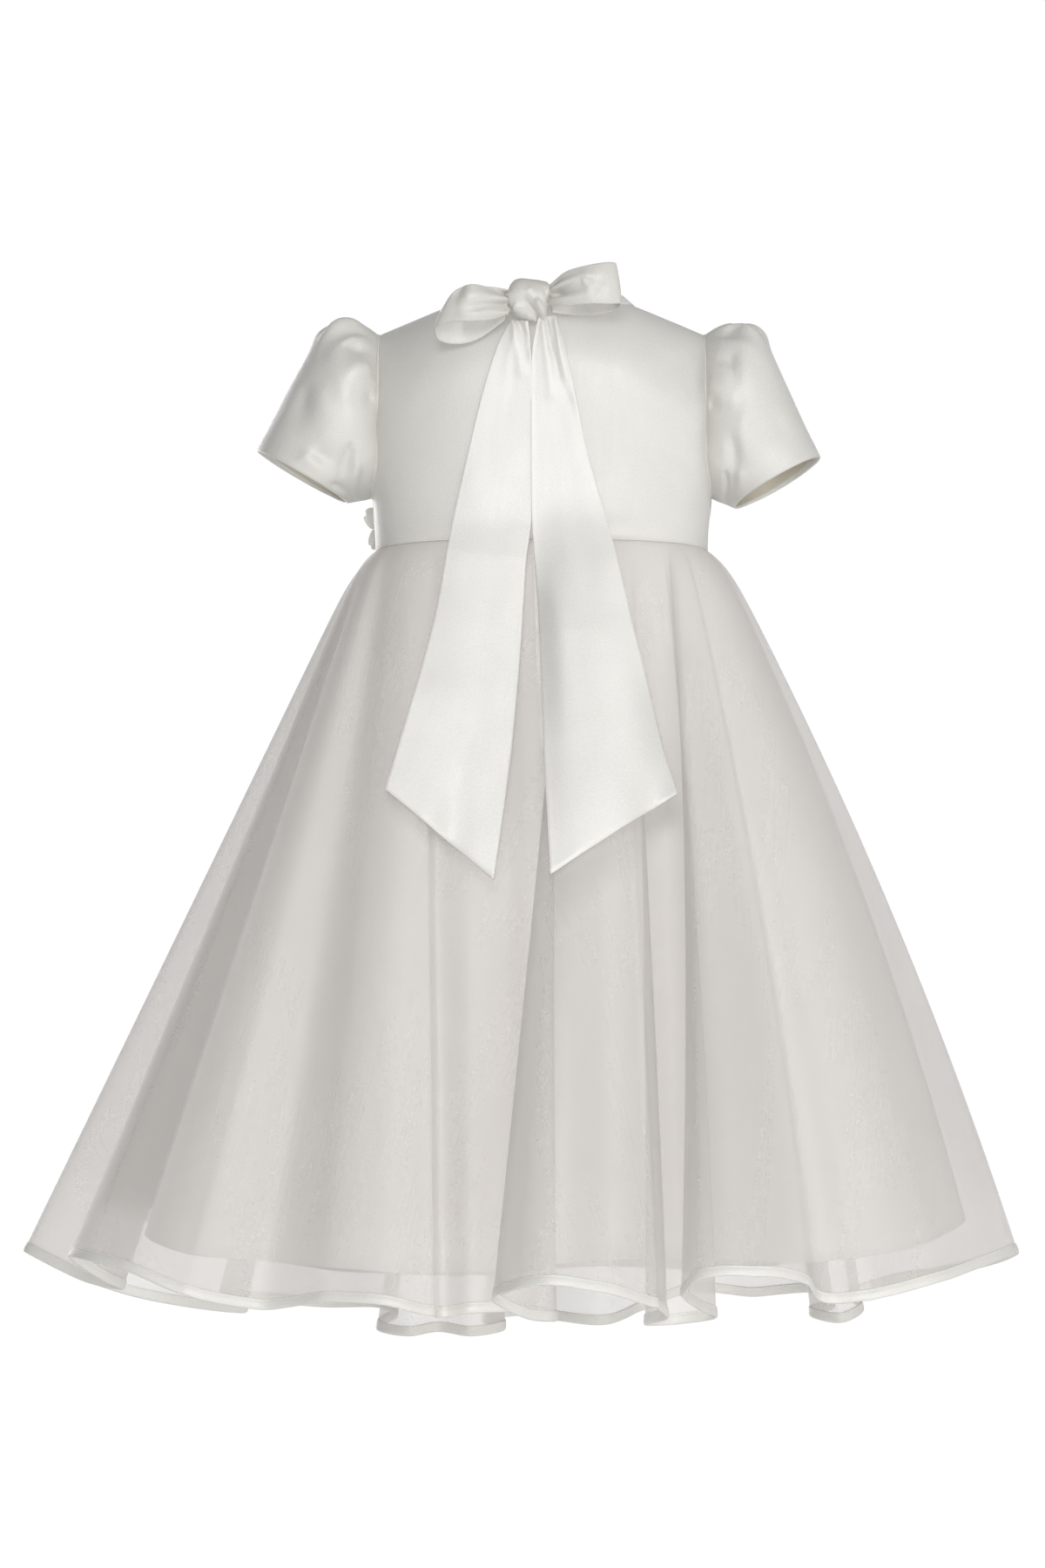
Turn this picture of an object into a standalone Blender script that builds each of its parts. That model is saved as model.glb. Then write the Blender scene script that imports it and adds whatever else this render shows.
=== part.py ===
"""Flower girl dress: satin bodice with puff sleeves and a big back bow, organza
circle skirt with a bound hem over a shorter lining.

Frame: +Z up, +X to the wearer's right, +Y out of the dress's front.
Origin: on the centre line, between the shoulders, at the back neckline's height.
All sizes are in millimetres until a mesh is made, which is in metres.
"""
from math import cos, exp, pi, radians, sin, sqrt

import bmesh
import bpy
import numpy as np
from mathutils import Vector
from mathutils.bvhtree import BVHTree

MM = 0.001
SEAM = 0.3                  # distance between two sewn pieces
HALF_SEAM = SEAM / 2

# Body form that the bodice is cut for, size 2 to 3 years
WAIST_Z = -141.5            # waist seam below the back neckline
WAIST_HALF = 100.0          # half the width across the waist
CHEST_HALF = 103.0          # half the width across the chest
CHEST_RISE = 61.5           # height over which the waist widens to the chest
HALF_DEPTH = {-1: 68.0, 1: 72.0}      # back (-1) and front (+1) of the form
ROUNDING = {-1: 60.0, 1: 190.0}       # height over which each side curves in to the shoulder
SQUARENESS = 2.7            # exponent of the form's cross-section
NECK_HALF = 57.0            # neck point, where the neckline meets the shoulder seam
NECK_POINT_Z = 7.5
NECK_PEAK = 14.0            # rise of the form inside the neckline
FRONT_SCOOP = 39.5          # depth of the front neckline below the neck point
SHOULDER_HALF = 98.0        # shoulder tip and armhole seam
SHOULDER_TIP_Z = -9.0
UNDERARM_Z = -108.0
ARMHOLE_ROUND = 23.0        # height of the round foot of the armhole
BODICE_WALL = 1.5

# Where the bodice's grid lines lie, as shares of its height and half width
BODICE_ROWS = (0, .13, .2528, .265, .30, .4264, .58, .73, .86, .945, .985, 1)
BODICE_COLUMNS = (0, .10, .21, .32, .43, .52, .5816, .70, .81, .90, .96, 1)

BAND_HEIGHT = 9.0           # folded satin band round the neck
BAND_WALL = 2.0
BAND_RIDGE = 0.7            # height of its three folds
BAND_ROWS = 6               # two grid rows for each fold
BAND_LEAN = 0.35            # how far it stands up from the form's slope

SLEEVE_WALL = 1.2
SLEEVE_CLEAR = 0.4          # from the bodice's cut edge to the sleeve
SLEEVE_HALF_DEPTH = 42.0    # half the sleeve hem's depth, front to back
PUFF = 34.5                 # rise of the puffed head over a straight sleeve
PUFF_START = 0.10           # share of the sleeve in which the head rises
PUFF_SEAM = 0.01            # and in which its seam allowance pushes it out
PUFF_SEAM_SHARE = 0.25
GATHER_COUNT = 7
GATHER_SPAN = 150.0         # degrees of the armhole that are gathered
GATHER_DEPTH = 2.0
GATHER_AT = 0.09            # share of the sleeve where the gathers are deepest
GATHER_START = 0.03         # and where they come out of the seam
GATHER_STEPS = 4            # grid columns across a gather
PLAIN_STEPS = 12            # grid columns round the rest of the sleeve
HEAD_TAPER = 0.8            # how fast the puff falls off down the sleeve's sides
SLEEVE_ROWS = (0, .03, .08, .15, .25, .40, .60, .80, 1)
# side, upper hem corner x and z, lower hem corner x and z, lift of the hem's front edge
SLEEVES = {
    "sleeve_left": dict(side=-1, top=(171.5, -82), foot=(117, -114), lift=2.5),
    "sleeve_right": dict(side=1, top=(168, -84), foot=(116, -114), lift=-1.0),
}

ORGANZA_WALL = 1.0
LINING_WALL = 1.0
BINDING_HEIGHT = 6.0
BINDING_PROUD = 0.6         # binding outside the organza's outer face
BINDING_WALL = 2.2
SKIRT_LENGTH = 475.0        # waist to hem along the cloth
SPRING = 0.047              # share of the flare that opens right under the waist seam
SPRING_LENGTH = 0.02
BELLY = 11.0                # outward bow of the right side, half way down
SLIT_LENGTH = 130.0         # centre back opening below the waist
SLIT_HALF = 1.5
SKIRT_ROWS = (0, .02, .05, .12, .30, .50, .75, 1)
SKIRT_STEPS = 2             # grid columns from one hem row to the next
LINING_INSET = 1.4          # lining inside the skirt at the waist
LINING_BACK_INSET = 2.6     # more at the back, where the placket lies between
LINING_ROWS = (0, .05, .15, .40, .70, 1)
LINING_STEPS = 2
ACROSS = (-1, -.5, 0, .5, 1)       # grid columns across a narrow strip or petal
PLACKET_WIDTH = 13.0
PLACKET_WALL = 0.8
PLACKET_START = 1.0         # below the waist seam
PLACKET_TAPER = 0.45        # share of its width lost at its foot
PLACKET_CURVE = 0.4         # its edges lie this much further in

# Overskirt hem, clockwise seen from below: one row for each turn of a fold.
# x, y of the hem, its drop below the waist seam, and the angle at the waist
# that the cloth hangs from (180 left side, 270 centre back, 0 right side).
HEM = (
    ("left_side", -312, 50, 417, 178),
    ("left_side_in", -274, 18, 436, 181),
    ("left_valley", -249, -12, 442, 184),
    ("left_valley_out", -258, -48, 438, 187),
    ("fold_a_start", -275, -92, 426, 191),
    ("fold_a_corner", -264, -130, 428, 195),
    ("fold_a_near", -235, -156, 437, 200),
    ("fold_a_crest", -203, -166, 450, 205),
    ("fold_a_dip", -161, -152, 457, 211),
    ("fold_b_rise", -123, -178, 454, 217),
    ("fold_b_crest", -90, -190, 456, 225),
    ("fold_b_edge", -64, -178, 462, 232),
    ("fold_b_crease", -57, -156, 462, 236),
    ("back_flat_1", -41, -162, 460, 250),
    ("back_flat_2", -17, -150, 459, 262),
    ("back_valley_1", -3, -131, 462, 267),
    ("back_valley_2", 7, -127, 463, 270),
    ("back_valley_3", 5, -143, 464, 272),
    ("fold_c_in", -9, -162, 463, 274),
    ("fold_c_start", -28, -190, 454, 276),
    ("fold_c_left", -20, -222, 449, 278),
    ("fold_c_crest", 3, -240, 446, 281),
    ("fold_c_right", 37, -228, 451, 285),
    ("fold_c_edge", 63, -200, 458, 289),
    ("fold_c_turn", 71, -172, 463, 293),
    ("right_valley_in", 59, -140, 466, 297),
    ("right_valley_floor", 76, -116, 465, 302),
    ("right_valley_end", 99, -128, 462, 308),
    ("right_valley_out", 89, -162, 458, 312),
    ("fold_d_start", 80, -192, 451, 314),
    ("fold_d_crest", 89, -216, 442, 316),
    ("fold_d_near", 118, -218, 440, 318),
    ("fold_d_edge", 149, -192, 444, 320),
    ("fold_d_crease", 160, -164, 454, 321.5),
    ("fold_e_start", 187, -164, 452, 325),
    ("fold_e_near", 223, -146, 443, 330),
    ("fold_e_crest", 256, -100, 431, 339),
    ("right_side", 281, -36, 421, 350),
    ("fold_f_crest", 276, 30, 424, 361),
    ("fold_f_far", 250, 78, 430, 370),
    ("fold_f_corner", 218, 128, 434, 378),
    ("fold_f_end", 203, 147, 438, 380),
    ("fold_f_turn", 190, 137, 443, 383),
    ("front_valley_1", 196, 108, 452, 390),
    ("front_valley_2", 182, 90, 459, 395),
    ("front_valley_3", 165, 108, 455, 399),
    ("fold_g_start", 181, 150, 448, 401),
    ("fold_g_side", 170, 192, 438, 406),
    ("fold_g_crest", 133, 222, 439, 411),
    ("fold_g_far", 95, 218, 437, 417),
    ("fold_g_end", 62, 188, 450, 424),
    ("front_dip", 37, 146, 459, 430),
    ("fold_h_start", 10, 160, 456, 435),
    ("fold_h_crest", -8, 196, 452, 439),
    ("fold_h_end", -33, 190, 454, 443),
    ("fold_h_in", -35, 148, 458, 447),
    ("front_valley_4", -23, 116, 463, 451),
    ("front_valley_5", -43, 98, 467, 455),
    ("front_ripple", -63, 110, 464, 458),
    ("front_valley_6", -81, 98, 467, 461),
    ("front_valley_7", -100, 116, 463, 465),
    ("fold_i_start", -89, 152, 454, 470),
    ("fold_i_side", -104, 196, 447, 476),
    ("fold_i_crest", -137, 222, 446, 482),
    ("fold_i_far", -175, 212, 443, 489),
    ("fold_i_end", -201, 180, 442, 496),
    ("front_valley_8", -182, 128, 452, 504),
    ("fold_j_start", -216, 110, 449, 513),
    ("fold_j_near", -263, 92, 439, 525),
)
LEFT_SEAM, BACK_SEAM, RIGHT_SEAM = "left_side", "back_valley_2", "right_side"

# Lining hem, the same way round and inside the overskirt's valleys
LINING_HEM = (
    ("left_side", -264, 40, 386, 178),
    ("left_valley", -222, -15, 398, 186),
    ("fold_a", -232, -75, 412, 193),
    ("fold_a_near", -205, -122, 424, 201),
    ("fold_a_end", -160, -125, 429, 211),
    ("fold_b", -110, -140, 434, 221),
    ("fold_b_end", -70, -128, 436, 233),
    ("back_left", -30, -116, 434, 250),
    ("back_valley", 6, -98, 430, 270),
    ("fold_c", 42, -110, 428, 285),
    ("right_valley", 78, -96, 427, 300),
    ("fold_d_start", 112, -112, 428, 312),
    ("fold_d", 150, -140, 430, 320),
    ("fold_e", 200, -122, 424, 330),
    ("fold_e_end", 238, -55, 410, 345),
    ("right_side", 252, 10, 398, 361),
    ("fold_f", 214, 76, 405, 374),
    ("front_valley_1", 160, 74, 420, 390),
    ("fold_g", 125, 130, 426, 405),
    ("fold_g_far", 75, 150, 424, 418),
    ("front_dip", 35, 112, 424, 430),
    ("fold_h", -5, 125, 426, 442),
    ("front_valley_2", -30, 82, 430, 453),
    ("front_valley_3", -75, 78, 430, 463),
    ("fold_i_start", -115, 105, 428, 473),
    ("fold_i", -140, 145, 424, 484),
    ("front_valley_4", -165, 105, 420, 496),
    ("fold_j_start", -205, 85, 410, 512),
    ("fold_j", -240, 75, 398, 526),
)

# Bow at the back neck
KNOT = Vector((-7.6, -66.6, 1.6))
KNOT_HALF = Vector((14.2, 11.6, 12.6))
KNOT_END = 0.68             # size of its ends against its middle
KNOT_SIDES = 16
KNOT_RINGS = 8
KNOT_CREASE = 0.06          # depth of its three creases, as a share of its radius
BOW_STEPS = 2               # grid rows from one table row to the next
LOOP_WALL = 1.0
TAIL_WALL = 1.2
TAIL_CLEAR = 0.8            # tails off the highest cloth that they hang on
TAIL_REACH = 8.5            # how far round a point that cloth is looked for
TAIL_GATHERED = 6           # grid rows under the knot in which the tails are gathered
TAIL_PINCH = 1.3            # how far the gathered part stands off
TAIL_CREASE = 1.2
# Loops, from the knot out along the near layer and back along the far one:
# x, y of the upper edge, its height, the lower edge's height, x shift of the lower edge
LOOPS = {
    "bow_loop_left": (
        (-22.4, -73, 7.5, -7, 0), (-32, -83, 6.5, -17, 0), (-44, -89, 3.5, -19.5, 0),
        (-54, -87, -1, -19.5, -2), (-60.5, -80, -5, -21, -3.5), (-59, -72, -7, -25.5, -2),
        (-50, -67, -2, -27, 0), (-38, -66.5, 3, -24, 0), (-24, -66.5, 4, -11, 0)),
    "bow_loop_right": (
        (7.2, -71, 9, -6, 0), (14, -79, 16, -8, 0), (26, -84, 19, -7.5, 1),
        (37, -83, 20.5, -7, 2), (43, -76, 21, -4, 3), (40, -68, 19, -5, 3),
        (28, -63, 15, -8.5, 1), (17, -61, 10, -7.5, 0), (8.6, -63, 6, -5, 0)),
}
# Tails from the knot down: left edge x and z, right edge x and z
TAILS = {
    "bow_tail_left": (
        (-18, -10.6, -8.4, -11.9), (-25, -24, -7, -26), (-34, -51, -6.3, -52),
        (-43.5, -90, -6.1, -91), (-52.5, -130, -6.3, -131), (-56, -150, -9.5, -155),
        (-63, -190, -12.5, -205), (-76, -240, -18.5, -275), (-91.5, -295, -28.5, -348)),
    "bow_tail_right": (
        (-6.6, -11.9, 3.2, -10.5), (-5.8, -29, 9.5, -26), (-5.6, -47, 14.3, -45),
        (-5.4, -92, 25.6, -91), (-5.2, -130, 37, -128), (-3.5, -165, 44, -155),
        (-1.5, -205, 53, -195), (1.5, -285, 66, -247), (4.7, -349, 78, -298.5)),
}

# Satin flower on the front of the waist, at the wearer's left
FLOWER_X = -95.0
FLOWER_Z = -120.0
PETALS = 5
PETAL_ROOT = 4.0
PETAL_SHOULDER = 10.0
PETAL_TIP = 16.5
PETAL_HALF_ANGLE = radians(33)
PETAL_WALL = 1.2
PETAL_CUP = 3.0             # rise of a petal's tip off the bodice
PETAL_CURL = 0.9            # and of its edges off its middle
PETAL_ROWS = (PETAL_ROOT, 7, PETAL_SHOULDER, 13, 15.3, PETAL_TIP)
PETAL_ROUNDING = 0.4        # keeps a short straight edge at the tip
FLOWER_EYE = 3.5

SATIN = dict(color=(.80, .78, .74), roughness=.38)
ORGANZA = dict(color=(.72, .70, .67), roughness=.55)
LINING = dict(color=(.66, .64, .61), roughness=.45)
TRIM = dict(color=(.70, .68, .64), roughness=.40)


def clear_scene():
    for obj in list(bpy.data.objects):
        bpy.data.objects.remove(obj, do_unlink=True)


def make_material(name, color, roughness):
    material = bpy.data.materials.new(name)
    material.use_nodes = True
    shader = material.node_tree.nodes["Principled BSDF"]
    shader.inputs["Base Color"].default_value = (*color, 1)
    shader.inputs["Roughness"].default_value = roughness
    shader.inputs["Metallic"].default_value = 0
    return material


def add_mesh(name, vertices, faces, look):
    """One closed, smooth shaded body with its faces pointing out."""
    mesh = bpy.data.meshes.new(name)
    mesh.from_pydata([tuple(MM * c for c in v) for v in vertices], [], faces)
    body = bmesh.new()
    body.from_mesh(mesh)
    bmesh.ops.recalc_face_normals(body, faces=body.faces)
    body.to_mesh(mesh)
    body.free()
    mesh.shade_smooth()
    mesh.set_sharp_from_angle(angle=radians(40))
    mesh.materials.append(make_material(name, **look))
    obj = bpy.data.objects.new(name, mesh)
    bpy.context.scene.collection.objects.link(obj)
    return obj


def add_wall(name, outer, inner, look, ring=False):
    """Cloth between two grids of points; a ring closes on its first column."""
    rows, columns = outer.shape[:2]
    count = rows * columns
    spans = columns if ring else columns - 1
    quads = []
    for r in range(rows - 1):
        for c in range(spans):
            a, b = r * columns + c, r * columns + (c + 1) % columns
            quads.append((a, b, b + columns, a + columns))
            quads.append((a + count, a + columns + count, b + columns + count, b + count))
    for c in range(spans):
        for r in (0, rows - 1):
            a, b = r * columns + c, r * columns + (c + 1) % columns
            quads.append((a, b, b + count, a + count))
    if not ring:
        for r in range(rows - 1):
            for c in (0, columns - 1):
                a = r * columns + c
                quads.append((a, a + columns, a + columns + count, a + count))
    vertices = np.concatenate([outer.reshape(-1, 3), inner.reshape(-1, 3)])
    return add_mesh(name, vertices.tolist(), quads, look)


def unit(vectors):
    length = np.linalg.norm(vectors, axis=-1, keepdims=True)
    return vectors / np.maximum(length, 1e-9)


def grid_normals(grid, ring=False):
    """Unit normals of a grid of points, from its rows and columns."""
    if ring:
        along = np.roll(grid, -1, axis=1) - np.roll(grid, 1, axis=1)
    else:
        along = np.gradient(grid, axis=1)
    return unit(np.cross(along, np.gradient(grid, axis=0)))


def smooth_step(t):
    t = min(max(t, 0.0), 1.0)
    return t * t * (3 - 2 * t)


def spline(points, steps, ring=False):
    """Points on a smooth curve through the given ones, steps for each span.

    Catmull-Rom with chord-length knots to the power one half, which never loops."""
    points = np.asarray(points, float)
    count = len(points)
    spans = count if ring else count - 1
    out = []
    for i in range(spans):
        if ring:
            p = [points[(i + k) % count] for k in (-1, 0, 1, 2)]
        else:
            before = points[i - 1] if i else 2 * points[0] - points[1]
            after = points[i + 2] if i + 2 < count else 2 * points[-1] - points[-2]
            p = [before, points[i], points[i + 1], after]
        t = [0.0]
        for k in range(3):
            t.append(t[-1] + max(np.linalg.norm(p[k + 1][:2] - p[k][:2]), 1e-3) ** 0.5)
        for step in range(steps):
            s = t[1] + (t[2] - t[1]) * step / steps
            a = [((t[k + 1] - s) * p[k] + (s - t[k]) * p[k + 1]) / (t[k + 1] - t[k]) for k in range(3)]
            b = [((t[k + 2] - s) * a[k] + (s - t[k]) * a[k + 1]) / (t[k + 2] - t[k]) for k in range(2)]
            out.append(((t[2] - s) * b[0] + (s - t[1]) * b[1]) / (t[2] - t[1]))
    if not ring:
        out.append(points[-1])
    return np.array(out)


# Body form

def half_width(z):
    return WAIST_HALF + (CHEST_HALF - WAIST_HALF) * smooth_step((z - WAIST_Z) / CHEST_RISE)


def shoulder_z(x):
    """Height of the ridge between front and back."""
    x = abs(x)
    if x < NECK_HALF:
        return NECK_POINT_Z + NECK_PEAK * (1 - (x / NECK_HALF) ** 2)
    drop = (NECK_POINT_Z - SHOULDER_TIP_Z) / (SHOULDER_HALF - NECK_HALF)
    return NECK_POINT_Z - drop * (x - NECK_HALF)


def neckline_z(x, side):
    share = (x / NECK_HALF) ** 2
    if side < 0:
        return NECK_POINT_Z * share
    return NECK_POINT_Z - FRONT_SCOOP * (1 - share)


def form_depth(x, z, side):
    """Half depth of the form at x and z, without its rounding across."""
    s = min(1.0, max(0.0, (shoulder_z(x) - z) / ROUNDING[side]))
    return HALF_DEPTH[side] * sqrt(1 - (1 - s) ** 2)


def form_across(x, z):
    share = min(1.0, abs(x) / half_width(z))
    return (1 - share ** SQUARENESS) ** (1 / SQUARENESS)


def form_point(x, z, side):
    y = max(HALF_SEAM, form_depth(x, z, side) * form_across(x, z))
    return np.array((x, side * y, z))


def form_normal(x, z, side):
    """Outward unit normal of the form, from its formula's slopes."""
    small = 0.05
    depth = max(form_depth(x, z, side), small)
    across = form_across(x, z)
    a = half_width(z)
    power = SQUARENESS - 1
    depth_x = (form_depth(x + small, z, side) - form_depth(x - small, z, side)) / (2 * small)
    depth_z = (form_depth(x, z + small, side) - form_depth(x, z - small, side)) / (2 * small)
    a_z = (half_width(z + small) - half_width(z - small)) / (2 * small)
    share = min(1.0, abs(x) / a)
    level = across ** SQUARENESS
    sign = -1 if x < 0 else 1
    nx = sign * share ** power / a - level * depth_x / depth
    ny = side * across ** power / depth
    nz = -share ** SQUARENESS * a_z / a - level * depth_z / depth
    return unit(np.array((nx, ny, nz)))


def armhole_share(z):
    """1 up the straight part of the armhole, down to 0 at its foot."""
    fall = (UNDERARM_Z + ARMHOLE_ROUND - z) / ARMHOLE_ROUND
    return sqrt(max(0.0, 1 - max(0.0, fall) ** 2))


def armhole_x(z):
    """Half width of the bodice at its side seam and armhole."""
    if z <= UNDERARM_Z:
        return half_width(z)
    across = form_across(SHOULDER_HALF, z) * armhole_share(z)
    return half_width(z) * (1 - across ** SQUARENESS) ** (1 / SQUARENESS)


# Bodice

def bodice_grid(side):
    """Outer and inner points of one half, centre line to side, waist to shoulder."""
    outer = []
    inner = []
    for v in BODICE_ROWS:
        edge = armhole_x(WAIST_Z + (SHOULDER_TIP_Z - WAIST_Z) * v)
        row_outer = []
        row_inner = []
        for u in BODICE_COLUMNS:
            x = edge * u
            if side < 0:
                x = max(x, HALF_SEAM)
            top = neckline_z(x, side) if x < NECK_HALF else shoulder_z(x)
            z = WAIST_Z + (top - WAIST_Z) * v
            point = form_point(x, z, side)
            row_outer.append(point)
            row_inner.append(point - BODICE_WALL * form_normal(x, z, side))
        outer.append(row_outer)
        inner.append(row_inner)
    return np.array(outer), np.array(inner)


def mirrored(grid):
    return grid[:, ::-1] * np.array((-1, 1, 1))


def make_bodice():
    outer, inner = bodice_grid(-1)
    add_wall("bodice_back_right", outer, inner, SATIN)
    add_wall("bodice_back_left", mirrored(outer), mirrored(inner), SATIN)
    outer, inner = bodice_grid(1)
    whole_outer = np.concatenate([mirrored(outer), outer[:, 1:]], axis=1)
    whole_inner = np.concatenate([mirrored(inner), inner[:, 1:]], axis=1)
    add_wall("bodice_front", whole_outer, whole_inner, SATIN)


# Neck band

def neckline():
    """Points and outward normals round the bodice's top edge, from centre back."""
    half = [SHOULDER_HALF * u for u in BODICE_COLUMNS if SHOULDER_HALF * u < NECK_HALF]
    right = []
    for x, side in [(x, -1) for x in half] + [(x, 1) for x in half[-2::-1]]:
        x = max(x, HALF_SEAM) if side < 0 else x
        z = neckline_z(x, side)
        right.append((form_point(x, z, side), form_normal(x, z, side)))
    flip = np.array((-1, 1, 1))
    left = [(point * flip, normal * flip) for point, normal in right[-2::-1]]
    points, normals = zip(*(right + left))
    return np.array(points), np.array(normals)


def make_neck_band():
    points, normals = neckline()
    along = unit(np.gradient(points, axis=0))
    up = np.cross(normals, along)
    up = unit(up + BAND_LEAN * np.array((0, 0, 1)))
    facing = unit(np.cross(along, up))
    outer = []
    inner = []
    for i in range(BAND_ROWS + 1):
        height = SEAM + BAND_HEIGHT * i / BAND_ROWS
        ridge = BAND_RIDGE * (i % 2)
        line = points + up * height
        share = min(1, i / 2)
        across = unit(normals * (1 - share) + facing * share)
        outer.append(line + across * ridge)
        inner.append(line - across * BAND_WALL)
    outer, inner = np.array(outer), np.array(inner)
    for grid in (outer, inner):
        grid[:, 0, 0] = HALF_SEAM
        grid[:, -1, 0] = -HALF_SEAM
    add_wall("neck_band", outer, inner, TRIM)


# Sleeves

def sleeve_angles():
    """Round the sleeve from its top, closer together where it is gathered."""
    top = GATHER_COUNT * GATHER_STEPS
    gathered = [GATHER_SPAN * (i / top - 0.5) for i in range(top + 1)]
    plain = 360 - GATHER_SPAN
    rest = [GATHER_SPAN / 2 + plain * i / PLAIN_STEPS for i in range(1, PLAIN_STEPS)]
    return [radians(a) for a in gathered + rest]


def armhole_point(angle, side):
    middle = (SHOULDER_TIP_Z + UNDERARM_Z) / 2
    z = middle + (SHOULDER_TIP_Z - UNDERARM_Z) / 2 * cos(angle)
    facing = -1 if sin(angle) > 0 else 1
    y = form_depth(SHOULDER_HALF, z, facing) * form_across(SHOULDER_HALF, z) * armhole_share(z)
    return np.array((side * (armhole_x(z) + SLEEVE_CLEAR), facing * y, z))


def head_rise(s):
    """Share of the puff reached at s of the way from armhole to hem."""
    seam = PUFF_SEAM_SHARE * (1 - exp(-s / PUFF_SEAM))
    return seam + (1 - PUFF_SEAM_SHARE) * (1 - exp(-s / PUFF_START))


def make_sleeve(name, side, top, foot, lift):
    top = np.array((side * top[0], 0, top[1]))
    foot = np.array((side * foot[0], 0, foot[1]))
    middle, reach = (top + foot) / 2, (top - foot) / 2
    crown = unit(top - armhole_point(0, side))
    rise = np.array((-crown[2] * side, 0, crown[0] * side))
    back = np.array((0, -1, 0))
    grid = []
    for s in SLEEVE_ROWS:
        row = []
        for angle in sleeve_angles():
            hem = middle + reach * cos(angle) + back * SLEEVE_HALF_DEPTH * sin(angle)
            hem = hem + np.array((0, 0, lift * (1 - sin(angle)) / 2))
            outward = unit(rise * max(0.0, cos(angle)) + back * sin(angle))
            head = ((1 + cos(angle)) / 2) ** HEAD_TAPER
            puff = PUFF * head * (1 - s) * head_rise(s)
            turn = angle / radians(GATHER_SPAN)
            window = max(0.0, cos(pi * turn)) ** 0.5 if abs(turn) < 0.5 else 0.0
            gather = GATHER_DEPTH * window * cos(2 * pi * GATHER_COUNT * turn)
            gather *= exp(-((s - GATHER_AT) / GATHER_AT) ** 2) * min(1.0, s / GATHER_START)
            base = armhole_point(angle, side) * (1 - s) + hem * s
            row.append(base + outward * (puff + gather))
        grid.append(row)
    outer = np.array(grid)
    inner = outer - SLEEVE_WALL * side * grid_normals(outer, ring=True)
    add_wall(name, outer, inner, SATIN, ring=True)


# Skirts

def waist_point(angle, inset=0.0, back_inset=0.0):
    """Point on the waist seam at an angle in degrees."""
    c, s = cos(radians(angle)), sin(radians(angle))
    power = 2 / SQUARENESS
    back = max(0.0, -s) ** 4
    x = (WAIST_HALF - inset) * abs(c) ** power * (-1 if c < 0 else 1)
    depth = HALF_DEPTH[-1 if s < 0 else 1] - inset - (back_inset - inset) * back
    y = depth * abs(s) ** power * (-1 if s < 0 else 1)
    return np.array((x, y, WAIST_Z - SEAM))


def hem_curve(table, steps):
    """Smooth closed hem with columns x, y, drop and waist angle."""
    rows = [list(row[1:]) for row in table]
    closed = spline([row[:3] for row in rows], steps, ring=True)
    angles = []
    for i, row in enumerate(rows):
        after = rows[(i + 1) % len(rows)][3] + (360 if i + 1 == len(rows) else 0)
        angles += [row[3] + (after - row[3]) * k / steps for k in range(steps)]
    return closed, angles


def hanging_grid(table, steps, shares, inset=0.0, back_inset=0.0):
    """Cloth hanging from the waist seam to its hem, a row for each share of the way."""
    hem, angles = hem_curve(table, steps)
    grid = []
    for v in shares:
        opening = v + SPRING * (1 - v) * (1 - exp(-v / SPRING_LENGTH))
        row = []
        for (x, y, drop), angle in zip(hem, angles):
            top = waist_point(angle, inset, back_inset)
            foot = np.array((x, y, WAIST_Z - drop))
            point = top + (foot - top) * np.array((opening, opening, v))
            point[0] += BELLY * 4 * v * (1 - v) * max(0.0, cos(radians(angle))) ** 2
            row.append(point)
        grid.append(row)
    return np.array(grid)


def cut_panel(grid, start, stop, half_gaps):
    """Columns start to stop of a closed grid, its ends drawn in from the seams."""
    count = grid.shape[1]
    stop = stop if stop > start else stop + count
    panel = np.take(grid, range(start, stop + 1), axis=1, mode="wrap").copy()
    first = unit(panel[:, 1] - panel[:, 0]) * np.array(half_gaps[0])[:, None]
    last = unit(panel[:, -2] - panel[:, -1]) * np.array(half_gaps[1])[:, None]
    panel[:, 0] += first
    panel[:, -1] += last
    return panel


def row_index(table, name):
    return [row[0] for row in table].index(name)


def slit_gap(v):
    """Half the opening at the centre back, for a share of the skirt's length."""
    open_share = max(0.0, 1 - v * SKIRT_LENGTH / SLIT_LENGTH)
    return HALF_SEAM + SLIT_HALF * open_share


def make_panels(prefix, outer, inner, shares, look):
    """Front and two back panels of the overskirt or of its binding."""
    seam = [row_index(HEM, name) * SKIRT_STEPS for name in (LEFT_SEAM, BACK_SEAM, RIGHT_SEAM)]
    side = [HALF_SEAM] * len(shares)
    slit = [slit_gap(v) for v in shares]
    panels = {
        "back_left": (seam[0], seam[1], (side, slit)),
        "back_right": (seam[1], seam[2], (slit, side)),
        "front": (seam[2], seam[0], (side, side)),
    }
    for place, (start, stop, gaps) in panels.items():
        add_wall(prefix + "_" + place, cut_panel(outer, start, stop, gaps),
                 cut_panel(inner, start, stop, gaps), look)


def make_overskirt():
    organza_end = 1 - (BINDING_HEIGHT + SEAM) / SKIRT_LENGTH
    shares = [v * organza_end for v in SKIRT_ROWS]
    outer = hanging_grid(HEM, SKIRT_STEPS, shares)
    inner = outer - ORGANZA_WALL * hanging_normals(outer)
    make_panels("skirt", outer, inner, shares, ORGANZA)
    ends = [1 - BINDING_HEIGHT / SKIRT_LENGTH, 1]
    line = hanging_grid(HEM, SKIRT_STEPS, ends)
    normals = hanging_normals(line)
    outer_edge = line + BINDING_PROUD * normals
    make_panels("hem_binding", outer_edge, outer_edge - BINDING_WALL * normals, ends, TRIM)


def hanging_normals(grid):
    """Outward normals of a skirt, whose columns run from the left side past the back."""
    return -grid_normals(grid, ring=True)


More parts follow.
